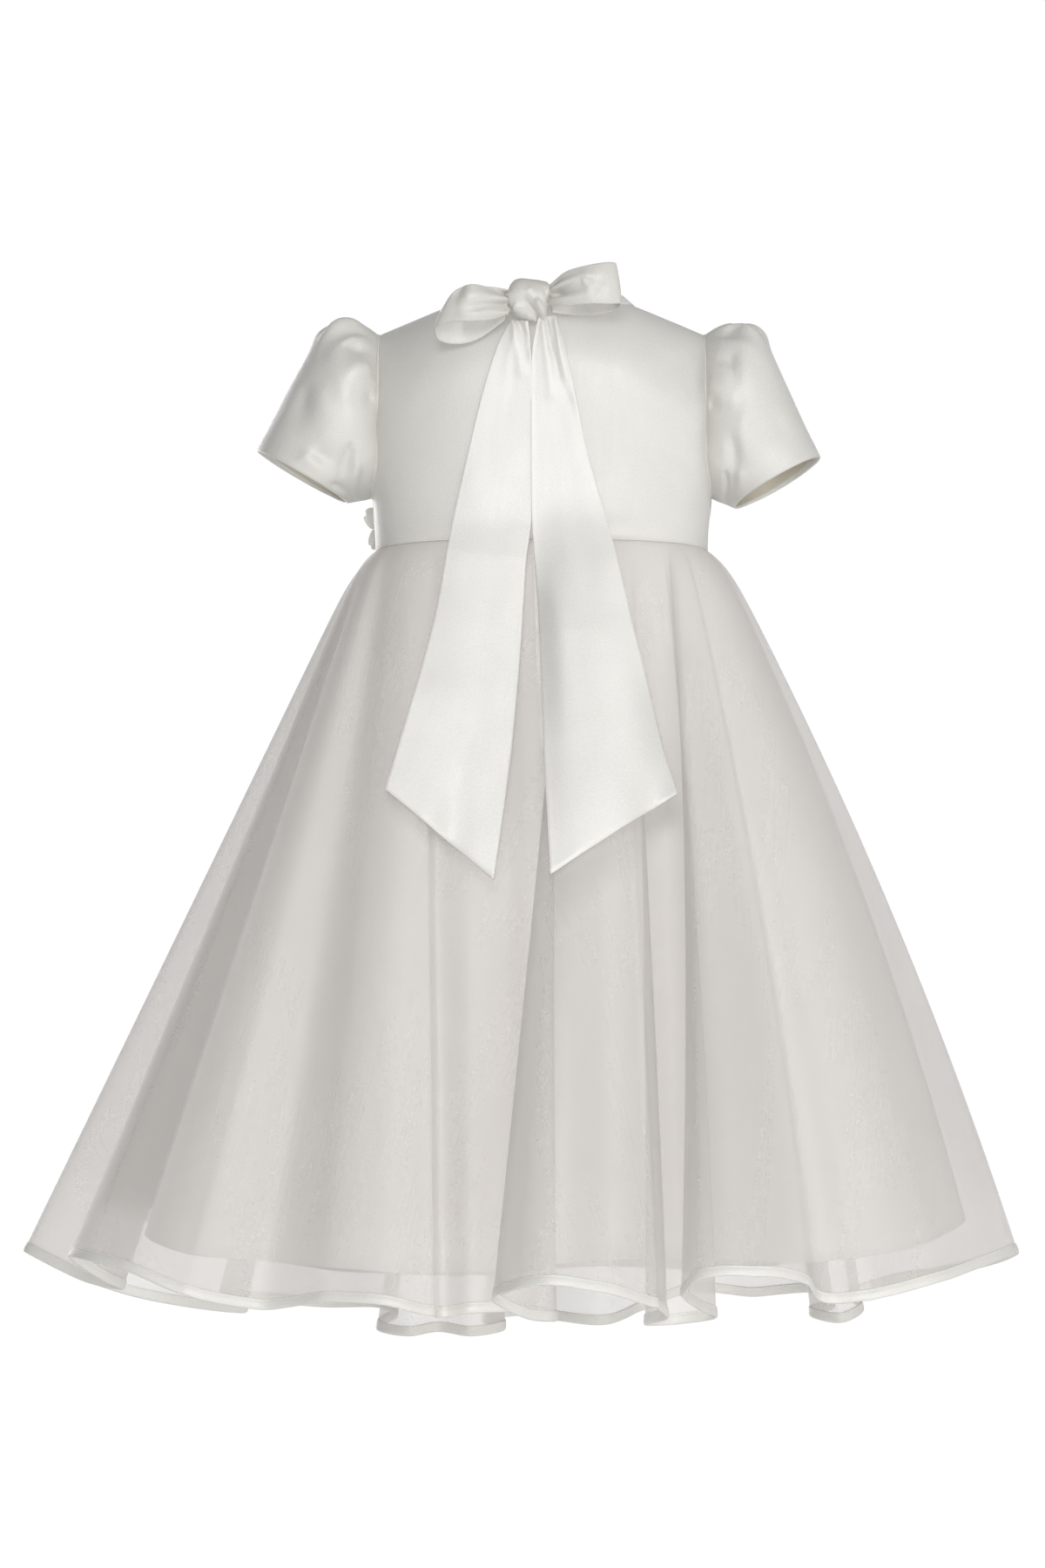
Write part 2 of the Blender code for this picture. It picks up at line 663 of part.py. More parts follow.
def make_lining():
    outer = hanging_grid(LINING_HEM, LINING_STEPS, LINING_ROWS, LINING_INSET, LINING_BACK_INSET)
    inner = outer - LINING_WALL * hanging_normals(outer)
    left = row_index(LINING_HEM, "left_side") * LINING_STEPS
    right = row_index(LINING_HEM, "right_side") * LINING_STEPS
    gaps = ([HALF_SEAM] * len(LINING_ROWS),) * 2
    for place, start, stop in (("back", left, right), ("front", right, left)):
        add_wall("lining_" + place, cut_panel(outer, start, stop, gaps),
                 cut_panel(inner, start, stop, gaps), LINING)


def make_placket():
    """Satin strip under the centre back slit, made from the overskirt's own points."""
    centre = row_index(HEM, BACK_SEAM) * SKIRT_STEPS
    outer = []
    for v in np.linspace(0, 1, 5):
        drop = SLIT_LENGTH * v + PLACKET_START
        share = drop / SKIRT_LENGTH
        column = hanging_grid(HEM, SKIRT_STEPS, [share])[0][centre]
        inward = ORGANZA_WALL + SEAM
        half = PLACKET_WIDTH / 2 * (1 - PLACKET_TAPER * v)
        outer.append([column + np.array((half * u, inward + PLACKET_CURVE * u * u, 0))
                      for u in ACROSS])
    outer = np.array(outer)
    inner = outer + np.array((0, PLACKET_WALL, 0))
    add_wall("back_placket", outer, inner, TRIM)


# Bow

def make_knot():
    """A rounded barrel along X, with flat ends and three soft creases."""
    vertices = []
    for i in range(KNOT_RINGS + 1):
        u = -1 + 2 * i / KNOT_RINGS
        swell = KNOT_END + (1 - KNOT_END) * sqrt(max(0.0, 1 - u * u))
        for k in range(KNOT_SIDES):
            angle = 2 * pi * k / KNOT_SIDES
            size = swell * (1 - KNOT_CREASE * (0.5 + 0.5 * cos(3 * angle + 2.5 * u)))
            spoke = Vector((u, size * cos(angle), size * sin(angle)))
            vertices.append(tuple(KNOT + KNOT_HALF * spoke))
    last = KNOT_RINGS * KNOT_SIDES
    faces = [tuple(range(KNOT_SIDES)), tuple(range(last, last + KNOT_SIDES))]
    for start in range(0, last, KNOT_SIDES):
        for k in range(KNOT_SIDES):
            a, b = start + k, start + (k + 1) % KNOT_SIDES
            faces.append((a, b, b + KNOT_SIDES, a + KNOT_SIDES))
    add_mesh("bow_knot", vertices, faces, SATIN)


def make_loop(name, table):
    """A strip that goes out from the knot, turns over and comes back behind."""
    grid = []
    for x, y, top, foot, shift in spline(table, BOW_STEPS):
        grid.append([(x + shift * w, y, top + (foot - top) * w) for w in np.linspace(0, 1, 5)])
    outer = np.array(grid)
    facing = grid_normals(outer)
    if facing[2, 2][1] > 0:
        facing = -facing
    add_wall(name, outer, outer - LOOP_WALL * facing, SATIN)


def surface_tree(names):
    """What the tails hang on, as one tree in millimetres."""
    vertices = []
    faces = []
    for name in names:
        mesh = bpy.data.objects[name].data
        start = len(vertices)
        vertices += [v.co / MM for v in mesh.vertices]
        faces += [tuple(start + i for i in face.vertices) for face in mesh.polygons]
    return BVHTree.FromPolygons(vertices, faces)


def resting_y(tree, x, z):
    """Y of the rearmost cloth round x and z, seen from behind."""
    depths = []
    behind = -WAIST_HALF * 4
    for dx in (-TAIL_REACH, 0, TAIL_REACH):
        for dz in (-TAIL_REACH, 0, TAIL_REACH):
            hit = tree.ray_cast(Vector((x + dx, behind, z + dz)), Vector((0, 1, 0)))[0]
            if hit:
                depths.append(hit.y)
    return min(depths)


def make_tail(name, table, tree):
    """A strip with a slanted end that hangs over the bodice and the skirt's folds."""
    grid = []
    for i, (left_x, left_z, right_x, right_z) in enumerate(spline(table, BOW_STEPS)):
        gathered = max(0.0, 1 - i / TAIL_GATHERED)
        row = []
        for u in np.linspace(0, 1, 6):
            x = left_x + (right_x - left_x) * u
            z = left_z + (right_z - left_z) * u
            stand_off = TAIL_CLEAR + TAIL_WALL + TAIL_PINCH * gathered
            crease = TAIL_CREASE * gathered * cos(3 * pi * u)
            row.append((x, resting_y(tree, x, z) - stand_off + crease, z))
        grid.append(row)
    outer = np.array(grid)
    add_wall(name, outer, outer + np.array((0, TAIL_WALL, 0)), SATIN)


# Flower

def flower_frame():
    """Centre on the bodice, with the outward, sideways and upward directions."""
    centre = form_point(FLOWER_X, FLOWER_Z, 1)
    outward = form_normal(FLOWER_X, FLOWER_Z, 1)
    sideways = unit(np.cross((0, 0, 1), outward))
    return centre, outward, sideways, np.cross(outward, sideways)


def petal_half_width(radius):
    if radius <= PETAL_SHOULDER:
        return radius * np.tan(PETAL_HALF_ANGLE)
    share = (radius - PETAL_SHOULDER) / (PETAL_TIP - PETAL_SHOULDER + PETAL_ROUNDING)
    return PETAL_SHOULDER * np.tan(PETAL_HALF_ANGLE) * sqrt(1 - share ** 2)


def make_petal(index, frame):
    centre, outward, sideways, upward = frame
    turn = radians(18 + 360 * index / PETALS)
    along = sideways * cos(turn) + upward * sin(turn)
    across = upward * cos(turn) - sideways * sin(turn)
    grid = []
    for radius in PETAL_ROWS:
        half = petal_half_width(radius)
        lift = SEAM + PETAL_WALL + PETAL_CUP * (radius / PETAL_TIP) ** 2
        row = []
        for u in ACROSS:
            curl = PETAL_CURL * u * u * radius / PETAL_TIP
            row.append(centre + along * radius + across * half * u + outward * (lift + curl))
        grid.append(row)
    outer = np.array(grid)
    facing = grid_normals(outer)
    if facing[0, 2] @ outward < 0:
        facing = -facing
    add_wall("flower_petal_%d" % (index + 1), outer, outer - PETAL_WALL * facing, SATIN)


def make_flower():
    frame = flower_frame()
    for index in range(PETALS):
        make_petal(index, frame)
    centre, outward = frame[0], frame[1]
    body = bmesh.new()
    bmesh.ops.create_uvsphere(body, u_segments=10, v_segments=6, radius=FLOWER_EYE)
    middle = Vector(centre + outward * (SEAM + FLOWER_EYE))
    vertices = [tuple(vertex.co + middle) for vertex in body.verts]
    faces = [tuple(v.index for v in face.verts) for face in body.faces]
    body.free()
    add_mesh("flower_eye", vertices, faces, TRIM)


def main():
    clear_scene()
    make_bodice()
    make_neck_band()
    for name, shape in SLEEVES.items():
        make_sleeve(name, **shape)
    make_overskirt()
    make_lining()
    make_placket()
    make_knot()
    for name, table in LOOPS.items():
        make_loop(name, table)
    tree = surface_tree(("bodice_back_left", "bodice_back_right",
                         "skirt_back_left", "skirt_back_right"))
    for name, table in TAILS.items():
        make_tail(name, table, tree)
    make_flower()


main()
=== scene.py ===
"""Flower girl dress: satin bodice with puff sleeves and a big back bow, sheer
organza skirt with a bound hem over a satin lining.

Laid out as an add-on and run as a script. Frame: +Z up, +X to the wearer's
right, +Y out of the dress's front. The cutting tables and surfaces are in
millimetres until a mesh is made, which is in metres.
"""
from math import cos, pi, radians, sin, sqrt

import bmesh
import bpy
import numpy as np
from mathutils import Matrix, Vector
from mathutils.bvhtree import BVHTree


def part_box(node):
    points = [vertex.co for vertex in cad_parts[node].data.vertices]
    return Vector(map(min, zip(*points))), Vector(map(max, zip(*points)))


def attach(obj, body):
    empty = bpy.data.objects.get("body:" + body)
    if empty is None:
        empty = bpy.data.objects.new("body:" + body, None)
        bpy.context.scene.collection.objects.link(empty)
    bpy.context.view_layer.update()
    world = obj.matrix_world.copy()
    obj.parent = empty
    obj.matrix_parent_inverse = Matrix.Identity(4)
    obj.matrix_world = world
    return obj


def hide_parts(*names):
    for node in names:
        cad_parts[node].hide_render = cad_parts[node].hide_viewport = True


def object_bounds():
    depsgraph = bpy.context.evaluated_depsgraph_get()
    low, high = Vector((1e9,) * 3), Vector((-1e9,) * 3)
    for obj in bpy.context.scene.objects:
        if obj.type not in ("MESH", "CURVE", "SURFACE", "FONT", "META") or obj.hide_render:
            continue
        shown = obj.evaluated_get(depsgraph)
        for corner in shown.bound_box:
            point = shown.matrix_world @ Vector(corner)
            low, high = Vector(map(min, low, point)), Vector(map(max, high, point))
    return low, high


bl_info = {
    "name": "Flower Girl Dress",
    "version": (1, 0, 0),
    "blender": (4, 5, 0),
    "location": "View3D > Sidebar > Dress",
    "description": "Sews a small child's satin and organza dress around its packed frame",
    "category": "Add Mesh",
}

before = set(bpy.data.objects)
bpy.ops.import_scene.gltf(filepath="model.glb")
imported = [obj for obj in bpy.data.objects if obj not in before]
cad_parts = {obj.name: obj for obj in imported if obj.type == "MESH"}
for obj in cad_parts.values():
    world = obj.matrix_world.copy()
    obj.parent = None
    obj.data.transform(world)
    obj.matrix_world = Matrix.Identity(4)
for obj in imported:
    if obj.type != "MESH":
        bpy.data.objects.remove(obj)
SOLIDS_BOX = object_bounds()

MM = 0.001
SEAM = 0.3                  # distance between two sewn pieces
HALF_SEAM = SEAM / 2
RIM_BULGE = 0.45            # rounding of a cloth's rim, as a share of its thickness

# Body form that the bodice is cut for
WAIST_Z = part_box("bodice_back_right")[0].z / MM
WAIST_LAP = 0.35            # satin below the waist seam, over the skirt's tucked-in top
WAIST_TUCK = 0.9
WAIST_HALF = 100.0
CHEST_HALF = 103.0
CHEST_RISE = 61.5
HALF_DEPTH = {-1: 68.0, 1: 72.0}      # back (-1) and front (+1) of the form
ROUNDING = {-1: 60.0, 1: 190.0}       # height over which each side curves in to the shoulder
SQUARENESS = 2.7
NECK_HALF = 57.0
NECK_POINT_Z = 7.5
NECK_PEAK = 14.0
FRONT_SCOOP = 39.5
SHOULDER_HALF = 98.0
SHOULDER_TIP_Z = -9.0
UNDERARM_Z = -108.0
ARMHOLE_ROUND = 23.0
NECK_SHARE = NECK_HALF / SHOULDER_HALF

BAND_HEIGHT = 9.0
BAND_RIDGE = 0.7
BAND_FOLDS = 3
BAND_LEAN = 0.35
BAND_THICKNESS = 1.4        # all layers of the folded strip
BAND_SMOOTHING = 3          # passes that even out the bodice's normals under the band
BAND_STEPS = 8              # rows of points for each fold

SLEEVE_CLEAR = 0.4
SLEEVE_HALF_DEPTH = 42.0
PUFF = 34.5
PUFF_START = 0.10
PUFF_SEAM = 0.01
PUFF_SEAM_SHARE = 0.25
GATHER_COUNT = 7
GATHER_SPAN = 150.0
GATHER_DEPTH = 2.3
GATHER_AT = 0.09
GATHER_START = 0.03
HEAD_TAPER = 0.8
SLEEVE_COLUMNS = 264
SLEEVE_ROWS = 52
SLEEVE_CROWDING = 1.5       # rows of points lie closer together near the armhole
FACING_START = 0.5          # share of the sleeve where its inner facing begins
FACING_GAP = 0.12
FACING_THICKNESS = 0.3
SLEEVE_TURNING = 0.80       # share of the sleeve where its turned hem begins
TURNING_EXTRA = 0.8         # thickness that the turned hem adds, as a share of the satin's
# side, upper hem corner x and z, lower hem corner x and z, lift of the hem's front edge,
# size of each gather from the back of the armhole to its front
SLEEVES = {
    "sleeve_left": dict(side=-1, top=(171.5, -82), foot=(117, -114), lift=6.3,
                        gathers=(0.5, 0.9, 1.5, 0.6, 1.7, 0.7, 1.0)),
    "sleeve_right": dict(side=1, top=(168, -84), foot=(116, -114), lift=1.5,
                         gathers=(0.8, 0.5, 1.2, 1.4, 0.6, 1.1, 0.5)),
}

SKIRT_LENGTH = 475.0
SKIRT_STEPS = 12            # columns from one hem row to the next
LINING_STEPS = 14
SKIRT_ROWS = 62             # rows from the waist down, closer together near it
SKIRT_CROWDING = 1.35
LINING_ROWS = 54
LINING_CROWDING = 1.3
PANELS = {                  # first and last hem row, and which of them meets the back slit
    "back_left": ("left_side", "back_valley_2", "last"),
    "back_right": ("back_valley_2", "right_side", "first"),
    "front": ("right_side", "left_side", None),
}
SPRING = 0.047
SPRING_LENGTH = 0.02
BELLY = 11.0
SLIT_LENGTH = 130.0
SLIT_HALF = 1.5
LINING_INSET = 1.4
LINING_BACK_INSET = 2.6
LINING_TURNING = 10.0       # height of the lining's turned hem
LINING_STITCH_HEIGHT = 9.0
PLACKET_WIDTH = 13.0
PLACKET_START = 1.0
PLACKET_TAPER = 0.45
PLACKET_CURVE = 0.4
PLACKET_INSET = 1.0         # behind the organza's outer face
PLACKET_THICKNESS = 0.5

BINDING_HEIGHT = 6.0
BINDING_STITCH_HEIGHT = 4.85
BINDING_STITCH_OUT = 0.46   # from the organza's face to the thread
ORGANZA_SHORT = 1.6         # from the hem up to the organza's edge, inside the binding
# Cross-section of the hem binding: height above the hem and distance out from the
# organza's face. It goes up the outer side, over the stitched lip and down into the
# slot that holds the cloth's edge.
BINDING_SECTION = (
    (-0.3, -0.2), (0.1, 0.35), (0.7, 0.62), (1.8, 0.70), (3.0, 0.72), (4.1, 0.66), (4.6, 0.42),
    (4.9, 0.38), (5.2, 0.55), (5.7, 0.55), (6.0, 0.35), (6.0, 0.12), (1.0, 0.12), (1.0, -0.52),
    (6.0, -0.52), (6.0, -0.8), (5.4, -1.0), (4.9, -0.9), (4.4, -1.05), (1.6, -1.15), (0.5, -1.0),
)

# Overskirt hem, clockwise seen from below: one row for each turn of a fold.
# x, y of the hem, its drop below the waist seam, and the angle at the waist
# that the cloth hangs from (180 left side, 270 centre back, 0 right side).
HEM = (
    ("left_side", -312, 50, 417, 178),
    ("left_side_in", -274, 18, 436, 181),
    ("left_valley", -249, -12, 442, 184),
    ("left_valley_out", -258, -48, 438, 187),
    ("fold_a_start", -275, -92, 426, 191),
    ("fold_a_corner", -264, -130, 428, 195),
    ("fold_a_near", -235, -156, 437, 200),
    ("fold_a_crest", -203, -166, 450, 205),
    ("fold_a_dip", -161, -152, 457, 211),
    ("fold_b_rise", -123, -178, 454, 217),
    ("fold_b_crest", -90, -190, 456, 225),
    ("fold_b_edge", -64, -178, 462, 232),
    ("fold_b_crease", -57, -156, 462, 236),
    ("back_flat_1", -41, -162, 460, 250),
    ("back_flat_2", -17, -150, 459, 262),
    ("back_valley_1", -3, -131, 462, 267),
    ("back_valley_2", 7, -127, 463, 270),
    ("back_valley_3", 5, -143, 464, 272),
    ("fold_c_in", -9, -162, 463, 274),
    ("fold_c_start", -28, -190, 454, 276),
    ("fold_c_left", -20, -222, 449, 278),
    ("fold_c_crest", 3, -240, 446, 281),
    ("fold_c_right", 37, -228, 451, 285),
    ("fold_c_edge", 63, -200, 458, 289),
    ("fold_c_turn", 71, -172, 463, 293),
    ("right_valley_in", 59, -140, 466, 297),
    ("right_valley_floor", 76, -116, 465, 302),
    ("right_valley_end", 99, -128, 462, 308),
    ("right_valley_out", 89, -162, 458, 312),
    ("fold_d_start", 80, -192, 451, 314),
    ("fold_d_crest", 89, -216, 442, 316),
    ("fold_d_near", 118, -218, 440, 318),
    ("fold_d_edge", 149, -192, 444, 320),
    ("fold_d_crease", 160, -164, 454, 321.5),
    ("fold_e_start", 187, -164, 452, 325),
    ("fold_e_near", 223, -146, 443, 330),
    ("fold_e_crest", 256, -100, 431, 339),
    ("right_side", 281, -36, 421, 350),
    ("fold_f_crest", 276, 30, 424, 361),
    ("fold_f_far", 250, 78, 430, 370),
    ("fold_f_corner", 218, 128, 434, 378),
    ("fold_f_end", 203, 147, 438, 380),
    ("fold_f_turn", 190, 137, 443, 383),
    ("front_valley_1", 196, 108, 452, 390),
    ("front_valley_2", 182, 90, 459, 395),
    ("front_valley_3", 165, 108, 455, 399),
    ("fold_g_start", 181, 150, 448, 401),
    ("fold_g_side", 170, 192, 438, 406),
    ("fold_g_crest", 133, 222, 439, 411),
    ("fold_g_far", 95, 218, 437, 417),
    ("fold_g_end", 62, 188, 450, 424),
    ("front_dip", 37, 146, 459, 430),
    ("fold_h_start", 10, 160, 456, 435),
    ("fold_h_crest", -8, 196, 452, 439),
    ("fold_h_end", -33, 190, 454, 443),
    ("fold_h_in", -35, 148, 458, 447),
    ("front_valley_4", -23, 116, 463, 451),
    ("front_valley_5", -43, 98, 467, 455),
    ("front_ripple", -63, 110, 464, 458),
    ("front_valley_6", -81, 98, 467, 461),
    ("front_valley_7", -100, 116, 463, 465),
    ("fold_i_start", -89, 152, 454, 470),
    ("fold_i_side", -104, 196, 447, 476),
    ("fold_i_crest", -137, 222, 446, 482),
    ("fold_i_far", -175, 212, 443, 489),
    ("fold_i_end", -201, 180, 442, 496),
    ("front_valley_8", -182, 128, 452, 504),
    ("fold_j_start", -216, 110, 449, 513),
    ("fold_j_near", -263, 92, 439, 525),
)

# Lining hem, the same way round and inside the overskirt's valleys
LINING_HEM = (
    ("left_side", -264, 40, 386, 178),
    ("left_valley", -222, -15, 398, 186),
    ("fold_a", -232, -75, 412, 193),
    ("fold_a_near", -205, -122, 424, 201),
    ("fold_a_end", -160, -125, 429, 211),
    ("fold_b", -110, -140, 434, 221),
    ("fold_b_end", -70, -128, 436, 233),
    ("back_left", -30, -116, 434, 250),
    ("back_valley", 6, -98, 430, 270),
    ("fold_c", 42, -110, 428, 285),
    ("right_valley", 78, -96, 427, 300),
    ("fold_d_start", 112, -112, 428, 312),
    ("fold_d", 150, -140, 430, 320),
    ("fold_e", 200, -122, 424, 330),
    ("fold_e_end", 238, -55, 410, 345),
    ("right_side", 252, 10, 398, 361),
    ("fold_f", 214, 76, 405, 374),
    ("front_valley_1", 160, 74, 420, 390),
    ("fold_g", 125, 130, 426, 405),
    ("fold_g_far", 75, 150, 424, 418),
    ("front_dip", 35, 112, 424, 430),
    ("fold_h", -5, 125, 426, 442),
    ("front_valley_2", -30, 82, 430, 453),
    ("front_valley_3", -75, 78, 430, 463),
    ("fold_i_start", -115, 105, 428, 473),
    ("fold_i", -140, 145, 424, 484),
    ("front_valley_4", -165, 105, 420, 496),
    ("fold_j_start", -205, 85, 410, 512),
    ("fold_j", -240, 75, 398, 526),
)

# Slight waves that the sheer cloth takes between its big folds: the hem row at
# which each one lies, its half width and height at the hem, and the share of
# the skirt's length at which it starts
SKIRT_WAVES = (
    ("fold_a_near", 13, 1.6, 0.25), ("fold_a_dip", 9, -1.8, 0.40), ("fold_b_rise", 10, 1.4, 0.15),
    ("fold_b_edge", 3.5, 2.2, 0.10), ("fold_c_edge", 3.5, 2.0, 0.12),
    ("fold_d_start", 3.5, 1.8, 0.15), ("fold_a_crest", 4, 1.2, 0.45),
    ("fold_e_start", 4, -1.3, 0.35), ("back_flat_1", 7, 1.3, 0.20), ("fold_c_left", 8, -1.2, 0.35),
    ("fold_c_right", 10, 1.5, 0.10), ("fold_d_near", 8, -1.3, 0.30),
    ("fold_d_crease", 6, 1.2, 0.45), ("fold_e_near", 14, 1.8, 0.20), ("right_side", 12, -1.6, 0.35),
    ("fold_f_far", 12, 1.7, 0.25), ("fold_g_crest", 10, -1.5, 0.30), ("fold_g_end", 9, 1.4, 0.20),
    ("fold_h_crest", 8, 1.2, 0.35), ("fold_i_side", 11, 1.6, 0.15), ("fold_i_far", 9, -1.3, 0.40),
    ("fold_j_near", 14, 1.8, 0.25),
)
LINING_WAVES = (
    ("fold_a_near", 26, -2.2, 0.15), ("fold_a_end", 18, 2.4, 0.15), ("fold_b", 14, 1.8, 0.30),
    ("back_left", 12, -1.6, 0.25), ("right_valley", 9, 3.5, 0.08), ("back_valley", 8, 2.5, 0.1),
    ("fold_c", 13, 1.7, 0.15), ("fold_e", 17, 2.2, 0.30), ("right_side", 15, -1.8, 0.25),
    ("fold_g", 14, 2.0, 0.20), ("fold_h", 12, 1.6, 0.35), ("fold_i", 15, 2.0, 0.25),
)

# Bow at the back neck
KNOT = np.array((-8.0, -66.8, 0.6))
KNOT_HALF = np.array((12.9, 11.9, 13.2))
# Outline of the knot: along it, and its top and foot as shares of its half height
KNOT_OUTLINE = (
    (-1, 0.42, -0.08), (-0.85, 0.72, -0.42), (-0.6, 0.94, -0.64), (-0.3, 1.0, -0.72),
    (0.1, 0.96, -0.85), (0.42, 0.93, -1.0), (0.68, 0.88, -0.84), (0.87, 0.82, -0.35),
    (1, 0.68, 0.1))
BOW_STEPS = 2               # rows that the solids have from one table row to the next
LOOP_STEPS = 13
LOOP_COLUMNS = 31
LOOP_TURN = 0.56            # share of a loop's ribbon that lies in front
LOOP_FULLNESS = 2.4         # how far the near layer swells
LOOP_PINCH = 1.1            # pleats beside the knot, in front and behind
LOOP_FAR_PINCH = 0.7
LOOP_THICKNESS = 1.2        # against the bodice's satin
# Loops, from the knot out along the near layer and back along the far one:
# x, y of the upper edge, its height, the lower edge's height, x shift of the lower edge
LOOPS = {
    "bow_loop_left": (
        (-19.5, -73, 5.5, -9, 0), (-31, -83, 6, -14, 0), (-43, -89, 6.2, -15.5, 0),
        (-53, -87, 2.5, -15.5, -2), (-60, -80, -7, -18.5, -3), (-59, -72, -8, -24, -2),
        (-50, -67, -2, -25.4, 0), (-38, -66.5, 3, -22.4, 0), (-22, -66.5, 4, -11, 0)),
    "bow_loop_right": (
        (4.5, -71, 8, -3.5, 0), (13, -79, 15, -4.5, 0), (26, -84, 18.5, -4.2, 1),
        (38, -83, 20.5, -4, 2), (44, -77.5, 21, -3, 3), (41.5, -68, 19, -5, 3),
        (28, -63, 15, -7.4, 1), (17, -61, 10, -7, 0), (6, -63, 6, -6, 0)),
}
# Tails from the knot down: left edge x and z, right edge x and z
TAILS = {
    "bow_tail_left": (
        (-18, -10.6, -8.4, -11.9), (-25, -24, -7, -26), (-34, -51, -6.3, -52),
        (-43.5, -90, -6.1, -91), (-52.5, -130, -6.3, -131), (-56, -150, -9.5, -155),
        (-63, -190, -12.5, -205), (-76, -240, -18.5, -275), (-91.5, -295, -28.5, -348)),
    "bow_tail_right": (
        (-1.5, -9, 8.2, -8.5), (-5.2, -29, 13.2, -26), (-6.0, -47, 17.6, -45),
        (-6.0, -92, 27.0, -91), (-5.8, -130, 37.4, -128), (-3.5, -165, 44, -155),
        (-1.5, -205, 53, -195), (1.5, -285, 66, -247), (4.7, -349, 78, -298.5)),
}

TAIL_CLEAR = 1.9            # from the cloth below to the ribbon's outer face
TAIL_TOP_Y = -62.0
TAIL_SMOOTHING = 150        # passes that let the ribbon hang clear of the waist's bend
TAIL_LAP = 0.9              # lift of the right tail's edge, which laps over the left one
TAIL_INSIDE = 0.4           # from the ribbon's edges to the outermost points looked up

FLOWER_X = -95.0
FLOWER_Z = -120.0
PETALS = 5
PETAL_HALF_ANGLE = radians(33)
PETAL_ROWS = (4.0, 7.0, 10.0, 13.0, 15.3, 16.5)
PETAL_SHOULDER = 10.0
PETAL_TIP = 16.5
PETAL_ROUNDING = 0.4
PETAL_LIFT = 1.5            # roots off the bodice
PETAL_CUP = 3.0
PETAL_CURL = 0.9
FLOWER_EYE = 3.5
EYE_PLEATS = 12
PETAL_THICKNESS = 0.7
PETAL_FIRST = 18            # degrees that the first petal is turned by
PETAL_RUFFLE = 0.25
PETAL_CREASE = 0.7

